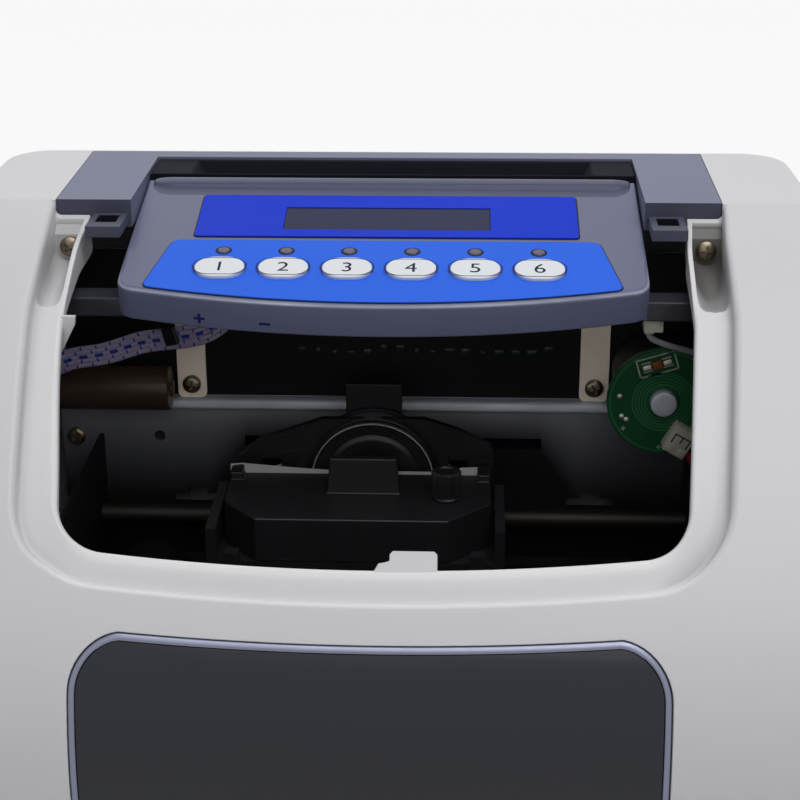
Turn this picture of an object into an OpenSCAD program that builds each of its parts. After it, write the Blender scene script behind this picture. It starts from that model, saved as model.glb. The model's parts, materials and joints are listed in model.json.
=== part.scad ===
// Punch-card time clock, seen with its service bay open.
// Origin on the surface it stands on, in the middle of the width. Front is -Y, up is +Z.

/* [Case] */
// Width of the case
case_w = 236; // [230:1:260]
// Depth of the case
case_d = 175; // [172:1:190]
// Height of the case
case_h = 210; // [208:1:216]
// Wall of the white shells
wall = 2.5; // [2:0.1:3]
// Radius of the upright edges of the case
edge_r = 14; // [8:1:18]
// Distance from the back of the case in to the crease where the hood starts
crease_in = 58; // [56:1:60]
// Radius of the upper sweep of the hood, for each unit of its depth
hood_bend = 1.8034; // [1.75:0.01:1.88]
// Slope of the hood at the crease
hood_start = 18; // [16:0.5:20]
// Slope of the hood where the front turns down
hood_end = 52; // [50:0.5:54]
// Thickness of the base plate
base_t = 2; // [1.5:0.1:2.4]
// Height of the rubber feet
foot_h = 3; // [2:0.5:5]
// Diameter of the rubber feet
foot_d = 16; // [10:1:22]

/* [Service opening] */
// Half width of the opening at its top
open_w = 83; // [81:0.5:84]
// Half width of the opening at its lower corners
open_low_w = 79; // [76:0.5:80]
// Distance from the sill of the opening to the turn of the hood
sill_in = 9; // [8:0.2:14]
// Radius of the shallow bow across the sill
open_bow_r = 650; // [500:10:900]
// Radius of the lower corners of the opening
open_corner_r = 13.5; // [10:0.5:18]
// Width of the recessed ledge around the opening
ledge_w = 9.6; // [8.5:0.1:10]
// Depth of the recessed ledge below the hood
ledge_drop = 4; // [3:0.1:5]
// Depth of the turned-in flange below the ledge
flange_h = 2.5; // [2:0.5:6]
// Width of the screw pockets in the cheeks
pocket_w = 7.6; // [7:0.1:8]

/* [Front window] */
// Half width of the smoked window
lens_w = 71; // [60:0.5:80]
// Drop from the turn of the hood to the top corners of the window
lens_drop = 9.3; // [6.5:0.1:15]
// Height of the window
lens_h = 72; // [64:0.5:80]
// Corner radius of the window
lens_r = 12; // [8:0.5:16]
// Thickness of the smoked lens
lens_t = 2; // [1.5:0.1:2.4]
// Width of the bright trim
trim_w = 1.8; // [1:0.1:2.5]

/* [Console] */
// Half width of the console
con_w = 71; // [69:0.5:71.3]
// Slope of the console
con_tilt = 11.3; // [10.8:0.1:11.8]
// Radius of the bow of the console's front edge
con_bow_r = 267; // [240:1:320]
// Radius of the console's front corners
con_corner_r = 6; // [4:0.5:9]
// Depth of the lip along the front edge
lip_h = 9.6; // [9:0.1:10.2]
// Wall of the console housing
con_t = 3; // [2.6:0.1:3.2]
// Thickness of the printed panels
panel_t = 0.4; // [0.3:0.05:0.6]
// Spacing of the clocking keys and their lights
key_pitch = 17.2; // [16.5:0.1:17.8]
// Radius of the ends of a clocking key
key_r = 5.4; // [4.8:0.1:5.6]
// Straight middle of a clocking key
key_mid = 2.7; // [2:0.1:3]
// How far a clocking key goes down
key_travel = 0.8; // [0.4:0.1:0.9]
// Spacing of the set-up keys
setup_pitch = 17; // [16.4:0.1:17.4]
// How far a set-up key goes up
setup_travel = 0.6; // [0.3:0.1:0.7]
// Diameter of the status lights
led_d = 3.6; // [3:0.1:4.2]

/* [Mechanism] */
// Front face of the chassis plate, back from the middle
plate_y = 60.8; // [60:0.1:61.4]
// Thickness of the chassis plate
plate_t = 1.2; // [1:0.1:1.5]
// Clear depth of the card chute
chute_gap = 5; // [4.6:0.1:5.4]
// Width of the card chute
chute_w = 92; // [88:1:96]
// Diameter of the two guide shafts
shaft_d = 6; // [5:0.1:6.4]
// Running clearance of a shaft, on the radius
run_gap = 0.03; // [0.02:0.01:0.08]
// Resting place of the carriage across the case
car_x = -8; // [-10:0.5:-6]
// Width of the carriage
car_w = 84; // [80:1:86]
// Top of the ribbon cartridge
cart_top = 127.3; // [126:0.1:128]
// Radius of the bright ring of the print head
ring_r = 18.6; // [18:0.1:19.2]
// Diameter of the take-up knob
knob_d = 8.5; // [7:0.1:9.5]
// Height of the take-up knob
knob_h = 8.5; // [7:0.1:10]
// Radius of the belt pulleys
pulley_r = 5; // [4.5:0.1:5.6]
// Diameter of the round motor board
motor_board_d = 32.5; // [31:0.1:33]
// Radius of the worm
worm_r = 4; // [3.6:0.1:4.2]
// Outer radius of the worm wheel
wheel_r = 9; // [8:0.1:9.4]
// Diameter of the battery
battery_d = 13.5; // [12:0.1:14]
// Length of the battery
battery_len = 36; // [34:0.5:37]

/* [Fasteners and mounts] */
// Head diameter of the pan-head screws
screw_head_d = 5.6; // [5:0.1:6]
// Thread diameter of the pan-head screws
screw_d = 2.9; // [2.5:0.1:3]
// Length of the pan-head screws under the head
screw_len = 12; // [10:0.5:14]
// Spacing of the wall-mounting holes in the back
wall_hole_pitch = 120; // [80:1:140]
// Diameter of the wall-mounting holes
wall_hole_d = 5; // [4:0.1:6]

/* [Hidden] */
$fn = 64;

// A small gap between pieces that only have to clear each other, and a long reach for cuts
gap = 0.3;
reach = 400;
// Loose hole around a screw thread
screw_gap = 0.15;

// The case in the frame of the part
half_w = case_w / 2;
half_d = case_d / 2;
back_y = 87.5;
front_y = back_y - case_d;
mid_y = back_y - half_d;
crease_y = back_y - crease_in;
part_y = crease_y - 0.5;
base_z = foot_h;
base_top = foot_h + base_t;

// The hood's upper arc starts at the crease, and the lower arc stands a little proud, so that it crosses it
nose_proud = 0.05;
hood_r = hood_bend * (crease_y - front_y);
hood_c = [crease_y + hood_r * sin(hood_start), case_h - hood_r * cos(hood_start)];
turn_p = hood_c + hood_r * [-sin(hood_end), cos(hood_end)];
nose_r = (turn_p[0] - front_y) / (1 - sin(hood_end));
nose_c = turn_p + (nose_r - nose_proud) * [sin(hood_end), -cos(hood_end)];
chord_tilt = atan2(case_h - turn_p[1], crease_y - turn_p[0]);
open_len = norm([crease_y, case_h] - turn_p) - sill_in;
lens_top = turn_p[1] - lens_drop;
lens_low = lens_top - lens_h;

// Outline with straight sides, round corners and a shallow bow across its end
knee_v = 45;
corner_steps = 10;
bow_steps = 10;
function corner_c(w, end_v, bow_r, r) =
  [w - r, end_v - bow_r + sqrt(pow(bow_r - r, 2) - pow(w - r, 2))];
function bowed_side(w_back, back_v, mid_v, w, end_v, bow_r, r) =
  let (c = corner_c(w, end_v, bow_r, r))
  let (lean = atan((w_back - w) / (c[1] - mid_v)))
  let (last = atan2(c[1] - end_v + bow_r, c[0]))
  concat([[w_back, back_v], [w_back, mid_v]],
    [for (i = [0:corner_steps]) let (a = lean + (last - lean) * i / corner_steps) c + r * [cos(a), sin(a)]],
    [for (i = [1:bow_steps]) let (a = last + (90 - last) * i / bow_steps)
      [0, end_v - bow_r] + bow_r * [cos(a), sin(a)]]);
function both_sides(side) =
  concat(side, [for (i = [len(side) - 2:-1:0]) [-side[i][0], side[i][1]]]);

// Shapes used all over
module box(lo, hi) {
  translate(lo) cube(hi - lo);
}
module rod_x(x0, x1, y, z, d) {
  translate([x0, y, z]) rotate([0, 90, 0]) cylinder(h = x1 - x0, d = d);
}
module rod_y(y0, y1, x, z, d) {
  translate([x, y0, z]) rotate([-90, 0, 0]) cylinder(h = y1 - y0, d = d);
}
module rod_z(z0, z1, x, y, d) {
  translate([x, y, z0]) cylinder(h = z1 - z0, d = d);
}
module both() {
  children();
  mirror([1, 0, 0]) children();
}
// Extrudes an outline drawn in Y and Z across the case
module across(half) {
  rotate([90, 0, 90]) translate([0, 0, -half]) linear_extrude(2 * half) children();
}
module rounded(w, h, r) {
  square([w - 2 * r, h], center = true);
  square([w, h - 2 * r], center = true);
  for (x = [-1, 1], y = [-1, 1])
    translate([x * (w / 2 - r), y * (h / 2 - r)]) circle(r);
}

// Side view of the case, set in by t
module side_view(t) {
  half_plane = [[0, 0], [0, reach], [reach, reach], [reach, 0]];
  intersection() {
    translate([front_y + t, -reach]) square([case_d - 2 * t, reach + case_h - t]);
    union() {
      intersection() {
        translate(hood_c) circle(hood_r - t, $fn = 180);
        translate(hood_c) rotate(hood_end) polygon(half_plane);
      }
      translate(nose_c) circle(nose_r - t, $fn = 120);
      translate([front_y + t, -reach]) square([case_d - 2 * t, reach + nose_c[1]]);
    }
  }
}
// The solid of the case, set in by t, with upright round edges
module case_solid(t) {
  intersection() {
    across(half_w - t) side_view(t);
    translate([0, mid_y, -reach]) linear_extrude(2 * reach)
      rounded(case_w - 2 * t, case_d - 2 * t, edge_r - t);
  }
}
// Cuts through the hood square to its chord, on the outline of the opening grown by grow
module opening_prism(grow) {
  side = bowed_side(open_w + grow, -60, knee_v, open_low_w + grow, open_len + grow,
    open_bow_r + grow, open_corner_r + grow);
  translate([0, crease_y, case_h]) rotate([180 + chord_tilt, 0, 0])
    translate([0, 0, -60]) linear_extrude(120) polygon(both_sides(side));
}
module hood_layer(t0, t1) {
  difference() {
    across(half_w - wall) side_view(t0);
    across(half_w) side_view(t1);
  }
}

// Screw pockets: a round-bottomed trough that leans down to the front
pocket_x = open_w + wall / 2 + pocket_w / 2;
pocket_wall_y = crease_y - 5.5;
pocket_axis_z = case_h - 11.8;
pocket_lean = 7;
pocket_skin = 1.4;
pocket_run = 50;
module trough(r, back) {
  translate([pocket_x, pocket_wall_y, pocket_axis_z]) rotate([90 + pocket_lean, 0, 0]) {
    translate([0, 0, -back]) cylinder(h = pocket_run + back, r = r);
    translate([-r, 0, -back]) cube([2 * r, 40, pocket_run + back]);
  }
}
module pockets() {
  intersection() {
    both() trough(pocket_w / 2, pocket_skin);
    box([-half_w, front_y, 0], [half_w, pocket_wall_y, reach]);
  }
}
module pocket_walls() {
  intersection() {
    both() trough(pocket_w / 2 + pocket_skin, 2 * pocket_skin);
    case_solid(ledge_drop + 0.5);
    box([-half_w, pocket_wall_y - 34, 150], [half_w, part_y, case_h]);
  }
}

// Outline of the front window, drawn in X and Z, with the sag of the sill in its top edge
sag_r = 900;
sag = 2.2;
module window_outline(grow) {
  difference() {
    translate([0, (lens_top + lens_low) / 2])
      rounded(2 * (lens_w + grow), lens_h + 2 * grow, lens_r + grow);
    translate([0, lens_top + grow - sag + sag_r]) circle(sag_r, $fn = 180);
  }
}
module window_prism(grow) {
  translate([0, front_y + 60, 0]) rotate([90, 0, 0]) linear_extrude(80) window_outline(grow);
}
// Posts inside the front that carry the display board
post_d = 7;
post_x = lens_w + trim_w + post_d / 2 + 3.7;
post_z = [lens_low + 12, lens_top - 18];
display_y = front_y + 15.5;

// Clip tab on the sill, with a low step beside it
tab_x = 10.3;
tab_w = 11.5;
tab_h = 4.4;
tab_t = 2;
module sill_tab() {
  root = 3;
  outline = [[-tab_w / 2 - 5, root], [-tab_w / 2 - 2.6, -1.3], [-tab_w / 2, -1.6], [-tab_w / 2, -tab_h],
    [tab_w / 2, -tab_h], [tab_w / 2, root]];
  intersection() {
    translate([tab_x, crease_y, case_h]) rotate([180 + chord_tilt, 0, 0])
      translate([0, open_len, -20]) linear_extrude(40) polygon(outline);
    hood_layer(ledge_drop, ledge_drop + tab_t);
  }
}

module front_shell() {
  color("whitesmoke") difference() {
    union() {
      difference() {
        union() {
          intersection() {
            difference() {
              case_solid(0);
              case_solid(wall);
            }
            box([-half_w, front_y, base_z], [half_w, part_y, case_h]);
          }
          intersection() {
            union() {
              intersection() {
                opening_prism(ledge_w + wall);
                hood_layer(0.5, ledge_drop + wall);
              }
              intersection() {
                opening_prism(wall / 2);
                hood_layer(0.5, ledge_drop + flange_h);
              }
              pocket_walls();
            }
            box([-half_w, front_y, base_z], [half_w, part_y, case_h]);
          }
        }
        difference() {
          opening_prism(ledge_w);
          across(half_w) side_view(ledge_drop);
        }
        opening_prism(0);
        pockets();
        window_prism(trim_w + gap / 2);
      }
      sill_tab();
      intersection() {
        both() for (z = post_z) rod_y(front_y, display_y - 1.6, post_x, z, post_d);
        case_solid(wall / 2);
      }
    }
    both() rod_y(pocket_wall_y - 1, crease_y + 1, pocket_x, pocket_axis_z, screw_d + 2 * screw_gap);
  }
}

// Case screws go into bosses of the rear shell, and the chassis plate is held by four more
boss_d = 7;
boss_len = 30;
chassis_x = 98.6;
chassis_z = [30, 125.4];
plate_back = plate_y + plate_t;
cover_w = 92.5;
cover_back = back_y - 3;
cover_h = 8;
inlet_x = -70;
inlet_z = 24;
inlet_d = 8.8;
wall_hole_z = 150;
vent_count = 9;
vent_pitch = 9;
module rear_shell() {
  inner_back = back_y - wall;
  color("whitesmoke") difference() {
    union() {
      intersection() {
        difference() {
          case_solid(0);
          case_solid(wall);
        }
        box([-half_w, part_y, base_z], [half_w, back_y, case_h]);
      }
      both() rod_y(part_y, part_y + boss_len, pocket_x, pocket_axis_z, boss_d);
      both() box([pocket_x, part_y, pocket_axis_z - 3],
        [half_w - wall / 2, part_y + boss_len, pocket_axis_z + 1]);
      intersection() {
        both() {
          for (z = chassis_z) rod_y(plate_back, back_y, chassis_x, z, boss_d);
          box([cover_w - 6, plate_back + 4, case_h - cover_h - 4], [half_w, back_y, case_h - cover_h]);
        }
        case_solid(wall / 2);
      }
    }
    box([-cover_w - gap / 2, crease_y - 1, case_h - cover_h],
      [cover_w + gap / 2, cover_back + gap / 2, case_h + 1]);
    both() rod_y(part_y - 1, part_y + boss_len - 4, pocket_x, pocket_axis_z, screw_d + 0.1);
    both() for (z = chassis_z) rod_y(plate_back - 1, inner_back - 3, chassis_x, z, screw_d + 0.1);
    rod_y(back_y - 12, back_y + 1, inlet_x, inlet_z, inlet_d + gap);
    for (s = [-1, 1]) rod_y(inner_back - 1, back_y + 1, s * wall_hole_pitch / 2, wall_hole_z, wall_hole_d);
    for (i = [0:vent_count - 1])
      box([(i - (vent_count - 1) / 2) * vent_pitch - 1.5, inner_back - 1, 44],
        [(i - (vent_count - 1) / 2) * vent_pitch + 1.5, back_y + 1, 74]);
  }
}

base_inset = wall + gap / 2;
standoff_x = 52;
standoff_y = [-34, 40];
board_z = base_top + 7;
module base_plate() {
  color("dimgray") union() {
    translate([0, mid_y, base_z]) linear_extrude(base_t)
      rounded(case_w - 2 * base_inset, case_d - 2 * base_inset, edge_r - base_inset);
    both() for (y = standoff_y) rod_z(base_z + base_t / 2, board_z, standoff_x, y, 6);
  }
}

foot_x = half_w - 24;
foot_y = half_d - 20;
module rubber_feet() {
  color("black") both() for (s = [-1, 1]) rod_z(0, foot_h, foot_x, mid_y + s * foot_y, foot_d);
}

// Grey cover: two blocks beside the console, a deck behind the card slot and two eyes for hooks
block_in = con_w + 0.5;
deck_front = back_y - 9.5;
eye_x = 77.4;
eye_w = 9.6;
eye_len = 13;
eye_top = case_h - 4;
eye_t = 3.2;
eye_hole = [5.8, 7.4];
module top_cover() {
  z0 = case_h - cover_h;
  color("slategray") union() {
    both() box([block_in, crease_y, z0], [cover_w, cover_back, case_h]);
    box([-cover_w, deck_front, z0], [cover_w, cover_back, case_h]);
    both() difference() {
      box([eye_x - eye_w / 2, crease_y - eye_len, eye_top - eye_t],
        [eye_x + eye_w / 2, crease_y + 1, eye_top]);
      box([eye_x - eye_hole[0] / 2, crease_y - 1 - eye_hole[1], eye_top - 10],
        [eye_x + eye_hole[0] / 2, crease_y - 1, eye_top + 5]);
    }
  }
}

// Card throat: a funnel above the chute and the guide wall behind the card
throat_z = case_h - 24;
throat_top = case_h - 0.8;
throat_w = block_in - gap;
throat_front = plate_back - 0.9;
chute_back = plate_back + chute_gap;
guide_t = 1.4;
guide_low = 96;
mouth_w = 118;
feed_x = 30;
module card_throat() {
  mouth_back = deck_front - 1.6;
  color("dimgray") difference() {
    union() {
      box([-throat_w, throat_front, throat_z], [throat_w, deck_front, throat_top]);
      box([-chute_w / 2 - 3, chute_back, guide_low], [chute_w / 2 + 3, chute_back + guide_t, throat_z + 1]);
      both() box([chute_w / 2, plate_back, guide_low], [chute_w / 2 + 3, chute_back + 0.5, throat_z + 1]);
    }
    box([-chute_w / 2, plate_back, guide_low - 1], [chute_w / 2, chute_back, throat_top + 1]);
    hull() {
      box([-mouth_w / 2, plate_back, throat_top], [mouth_w / 2, mouth_back, throat_top + 1]);
      box([-chute_w / 2, plate_back, throat_z + 6], [chute_w / 2, chute_back, throat_z + 7]);
    }
    both() box([feed_x - 6, chute_back - 1, feed_z - 13],
      [feed_x + 6, chute_back + guide_t + 1, feed_z + 13]);
  }
}

module display_trim() {
  color("silver") intersection() {
    difference() {
      window_prism(trim_w);
      window_prism(0);
    }
    difference() {
      across(half_w) side_view(0.2);
      across(half_w) side_view(wall + 0.3);
    }
  }
}
module display_lens() {
  color([0.1, 0.11, 0.16]) intersection() {
    window_prism(-gap / 2);
    difference() {
      across(half_w) side_view(0.6);
      across(half_w) side_view(0.6 + lens_t);
    }
  }
}

display_board_t = 1.6;
digit_w = 16;
digit_pitch = 20;
module display_board() {
  color("darkgreen") union() {
    box([-post_x - 5, display_y - display_board_t, post_z[0] - 6], [post_x + 5, display_y, post_z[1] + 6]);
    for (i = [-2.5:1:2.5]) translate([i * digit_pitch - digit_w / 2, display_y - 8, post_z[0] + 6])
      cube([digit_w, 7, post_z[1] - post_z[0] - 14]);
  }
}

// The console has its own tilted frame: y up its slope, z square to it
con_y = crease_y - 42;
con_z = case_h - 16.4;
ridge_len = 3.8;
con_len = (throat_front - gap - con_y - lip_h * sin(con_tilt)) / cos(con_tilt) - ridge_len;
panel_edge = 1.5;
module on_console() {
  translate([0, con_y, con_z]) rotate([con_tilt, 0, 0]) children();
}
module con_outline(inset) {
  side = bowed_side(con_w - inset, -con_len - ridge_len + inset, -40, con_w - inset, -inset,
    con_bow_r - inset, con_corner_r - inset / 2);
  mirror([0, 1]) polygon(both_sides(side));
}
module con_block(inset, z0, z1) {
  translate([0, 0, z0]) linear_extrude(z1 - z0) con_outline(inset);
}
key_y = 18.8;
led_y = 28.9;
key_x0 = -1;
lcd_w = 57.8;
lcd_y = [41.6, 55];
function key_x(i) = key_x0 + (i - 2.5) * key_pitch;
module oval(grow) {
  for (s = [-1, 1]) translate([s * key_mid / 2, 0]) circle(key_r + grow);
  square([key_mid, 2 * (key_r + grow)], center = true);
}
module panel_holes(grow) {
  for (i = [0:5]) {
    translate([key_x(i), key_y]) oval(grow);
    translate([key_x(i), led_y]) circle(led_d / 2 + grow);
  }
}
arm_y = con_y + 20.5;
arm_w = 9;
arm_z = con_z - 10.8;
arm_h = 5.5;
strap_x = 61.5;
strap_top = throat_z;
strap_seat_y = plate_y - 6.8;
ridge_r = 2.2;
module console_housing() {
  color("slategray") union() {
    on_console() difference() {
      union() {
        con_block(0, -lip_h, 0);
        rod_x(-con_w + 6, con_w - 6, con_len + ridge_len - ridge_r, -0.8, 2 * ridge_r);
      }
      con_block(con_t, -lip_h - 1, -con_t);
      translate([0, 0, -con_t - 1]) linear_extrude(con_t + 2) panel_holes(gap);
      box([-lcd_w / 2, lcd_y[0], -con_t - 1], [lcd_w / 2, lcd_y[1], 1]);
    }
    both() difference() {
      box([con_w - 1, arm_y, arm_z], [half_w - wall, arm_y + arm_w, arm_z + arm_h]);
      on_console() con_block(con_t, -lip_h - 10, -con_t);
    }
    both() intersection() {
      rod_z(strap_top, case_h, strap_x - 0.5, strap_seat_y, 7);
      on_console() con_block(0.5, -lip_h - 20, -con_t / 2);
    }
  }
}
module display_panel() {
  y0 = 37.5;
  y1 = 62.6;
  w = 53.3;
  color("mediumblue") on_console() difference() {
    translate([0, (y0 + y1) / 2, 0]) linear_extrude(panel_t) rounded(2 * w, y1 - y0, 1);
    box([-lcd_w / 2, lcd_y[0], -1], [lcd_w / 2, lcd_y[1], 1]);
  }
}
module key_panel() {
  top_y = 35.2;
  top_w = 58.6;
  low_w = 63.4;
  side = bowed_side(top_w, -top_y, -top_y + 0.01, low_w, -panel_edge, con_bow_r, 2);
  color("royalblue") on_console() difference() {
    linear_extrude(panel_t) mirror([0, 1]) polygon(both_sides(side));
    translate([0, 0, -1]) linear_extrude(3) panel_holes(gap);
  }
}
module lcd_window() {
  color([0.45, 0.43, 0.4]) on_console()
    box([-lcd_w / 2 + 0.1, lcd_y[0] + 0.1, -con_t], [lcd_w / 2 - 0.1, lcd_y[1] - 0.1, panel_t / 2]);
}
key_board_z = -8;
key_board_t = 1.6;
key_base = -4.6;
key_post_d = 3.6;
module key_board() {
  board_w = con_w - con_t - 0.2;
  color("darkgreen") on_console() union() {
    box([-board_w, key_y - key_post_d / 2 - 0.1, key_board_z], [board_w, 60, key_board_z + key_board_t]);
    for (i = [0:5]) translate([key_x(i), key_y, key_board_z + key_board_t / 2])
      cylinder(h = key_base - key_travel - gap - key_board_z - key_board_t / 2, d = key_post_d);
    box([-lcd_w / 2 - 3, lcd_y[0] - 2, key_board_z + 1], [lcd_w / 2 + 3, lcd_y[1] + 2, -con_t]);
  }
}
module status_lights() {
  color("indianred") on_console() for (i = [0:5]) translate([key_x(i), led_y, key_board_z + key_board_t])
    cylinder(h = -key_board_z - key_board_t + panel_t + 0.3, d = led_d);
}
module clock_key(i) {
  color("white") on_console() translate([key_x(i), key_y, 0]) {
    translate([0, 0, key_base]) linear_extrude(-con_t - gap / 2 - key_base) oval(0.8);
    translate([0, 0, key_base]) linear_extrude(1.2 - key_base) oval(0);
  }
}
module clock_key_1() { clock_key(0); }
module clock_key_2() { clock_key(1); }
module clock_key_3() { clock_key(2); }
module clock_key_4() { clock_key(3); }
module clock_key_5() { clock_key(4); }
module clock_key_6() { clock_key(5); }

// Set-up keys hang under the lip and are pressed upwards into their switches
setup_count = 8;
setup_x0 = -2.5;
setup_d = 3;
setup_cap_z = [-9.4, -7.9];
switch_low = -7;
switch_roof = -5;
function setup_x(i) = setup_x0 + (i - (setup_count - 1) / 2) * setup_pitch;
function lip_y(x) = con_bow_r - sqrt(pow(con_bow_r - con_t, 2) - x * x);
function setup_y(i) = lip_y(setup_x(i)) + 3.4;
module setup_board() {
  color("darkgreen") on_console() difference() {
    union() {
      intersection() {
        con_block(con_t + gap, -con_t - 1.6, -con_t);
        union() {
          box([-con_w, 0, -lip_h], [con_w, 12, 0]);
          both() box([54, 0, -lip_h], [con_w, 16, 0]);
        }
      }
      for (i = [0:setup_count - 1])
        box([setup_x(i) - 3, setup_y(i) - 2, switch_low], [setup_x(i) + 3, setup_y(i) + 2, -con_t - 1]);
    }
    for (i = [0:setup_count - 1]) translate([setup_x(i), setup_y(i), switch_low - 1])
      cylinder(h = switch_roof - switch_low + 1, d = setup_d + 0.1);
  }
}
module setup_key(i) {
  color("darkslategray") on_console() translate([setup_x(i), setup_y(i), 0]) {
    translate([-3.2, -2.2, setup_cap_z[0]]) cube([6.4, 4.4, setup_cap_z[1] - setup_cap_z[0]]);
    translate([0, 0, setup_cap_z[0] + 0.5])
      cylinder(h = switch_roof - setup_travel - gap - setup_cap_z[0] - 0.5, d = setup_d);
  }
}
module setup_key_1() { setup_key(0); }
module setup_key_2() { setup_key(1); }
module setup_key_3() { setup_key(2); }
module setup_key_4() { setup_key(3); }
module setup_key_5() { setup_key(4); }
module setup_key_6() { setup_key(5); }
module setup_key_7() { setup_key(6); }
module setup_key_8() { setup_key(7); }

// Chassis plate across the case, with the print slot, two hat-shaped openings, a bent shelf and its holes
plate_w = 103;
shelf_z = 138.2;
shelf_w = strap_x - 5;
slot_w = 46;
hat_z = [103, 105.8, 108.4];
strap_screw_z = 143.5;
motor_x = 79.6;
motor_z = 149.9;
spare_holes = [[-72.6, 125.4], [73, 129]];
module chassis_plate() {
  slot_z = [head_p[1] - 1.8, head_p[1] + 1.8];
  color([0.2, 0.2, 0.22]) difference() {
    union() {
      box([-plate_w, plate_y, base_top], [plate_w, plate_back, throat_z]);
      box([-shelf_w, plate_y - 2.4, shelf_z - plate_t], [shelf_w, plate_y + 0.2, shelf_z]);
      rod_y(belt_y[0] - 1.5, plate_y + 0.5, pulley_x, pulley_z, motor_shaft_d);
    }
    box([-slot_w, plate_y - 1, slot_z[0]], [slot_w, plate_back + 1, slot_z[1]]);
    both() box([strap_x - 7.4, plate_y - 1, hat_z[0]], [strap_x + 7.4, plate_back + 1, hat_z[1]]);
    both() box([strap_x - 3, plate_y - 1, hat_z[1] - 1], [strap_x + 3, plate_back + 1, hat_z[2]]);
    both() for (z = chassis_z) rod_y(plate_y - 1, plate_back + 1, chassis_x, z, screw_d + 2 * screw_gap);
    both() rod_y(plate_y - 1, plate_back + 1, strap_x, strap_screw_z, screw_d + 2 * screw_gap);
    for (h = spare_holes) rod_y(plate_y - 1, plate_back + 1, h[0], h[1], 3.5);
    rod_y(plate_y - 1, plate_back + 1, motor_x, motor_z, 6);
  }
}
strap_w = 8.9;
strap_t = 1.2;
strap_r = 1.8;
strap_low = 138.9;
module strap_brackets() {
  color("silver") both() difference() {
    union() {
      translate([strap_x, plate_y, (strap_low + strap_top) / 2]) rotate([90, 0, 0]) linear_extrude(strap_t)
        rounded(strap_w, strap_top - strap_low, strap_r);
      box([strap_x - strap_w / 2, strap_seat_y - 4, strap_top - strap_t],
        [strap_x + strap_w / 2, plate_y, strap_top]);
    }
    rod_y(plate_y - strap_t - 1, plate_y + 1, strap_x, strap_screw_z, screw_d + 2 * screw_gap);
  }
}

// Side frames carry both guide shafts
frame_x = 90;
frame_t = 1.5;
frame_top = 126;
frame_front = -20;
rear_shaft = [52, 102.9];
front_shaft = [4, 100];
module side_frames() {
  color("gray") both() difference() {
    box([frame_x, frame_front, base_top], [frame_x + frame_t, plate_y, frame_top]);
    for (p = [rear_shaft, front_shaft])
      rod_x(frame_x - 1, frame_x + frame_t + 1, p[0], p[1], shaft_d + 0.04);
    box([frame_x - 1, -6, base_top + 6], [frame_x + frame_t + 1, 46, 84]);
  }
}
module guide_shafts() {
  color("silver") for (p = [rear_shaft, front_shaft])
    rod_x(-frame_x - frame_t - 2, frame_x + frame_t + 2, p[0], p[1], shaft_d);
}

// Carriage: a tray on two shafts, with the print head's cradle and an arm down to the belt
car_l = car_x - car_w / 2;
car_r = car_x + car_w / 2;
tray_z = [112, 114];
tray_y = [-2.5, 38.5];
bush_len = 10;
bush_d = shaft_d + 2.4;
bush_x = [car_l + 6, car_r - 4 - bush_len];
head_x = car_x + 3.3;
head_p = [32.5, 124];
head_r = 17.6;
flange_r = 19;
cradle_w = 20.6;
spine_x = [car_x - 4, car_x + 4];
spine_z = [91, 96];
belt_y = [48, 52];
belt_t = 1.2;
pulley_z = 84;
belt_top = pulley_z + pulley_r;
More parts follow.
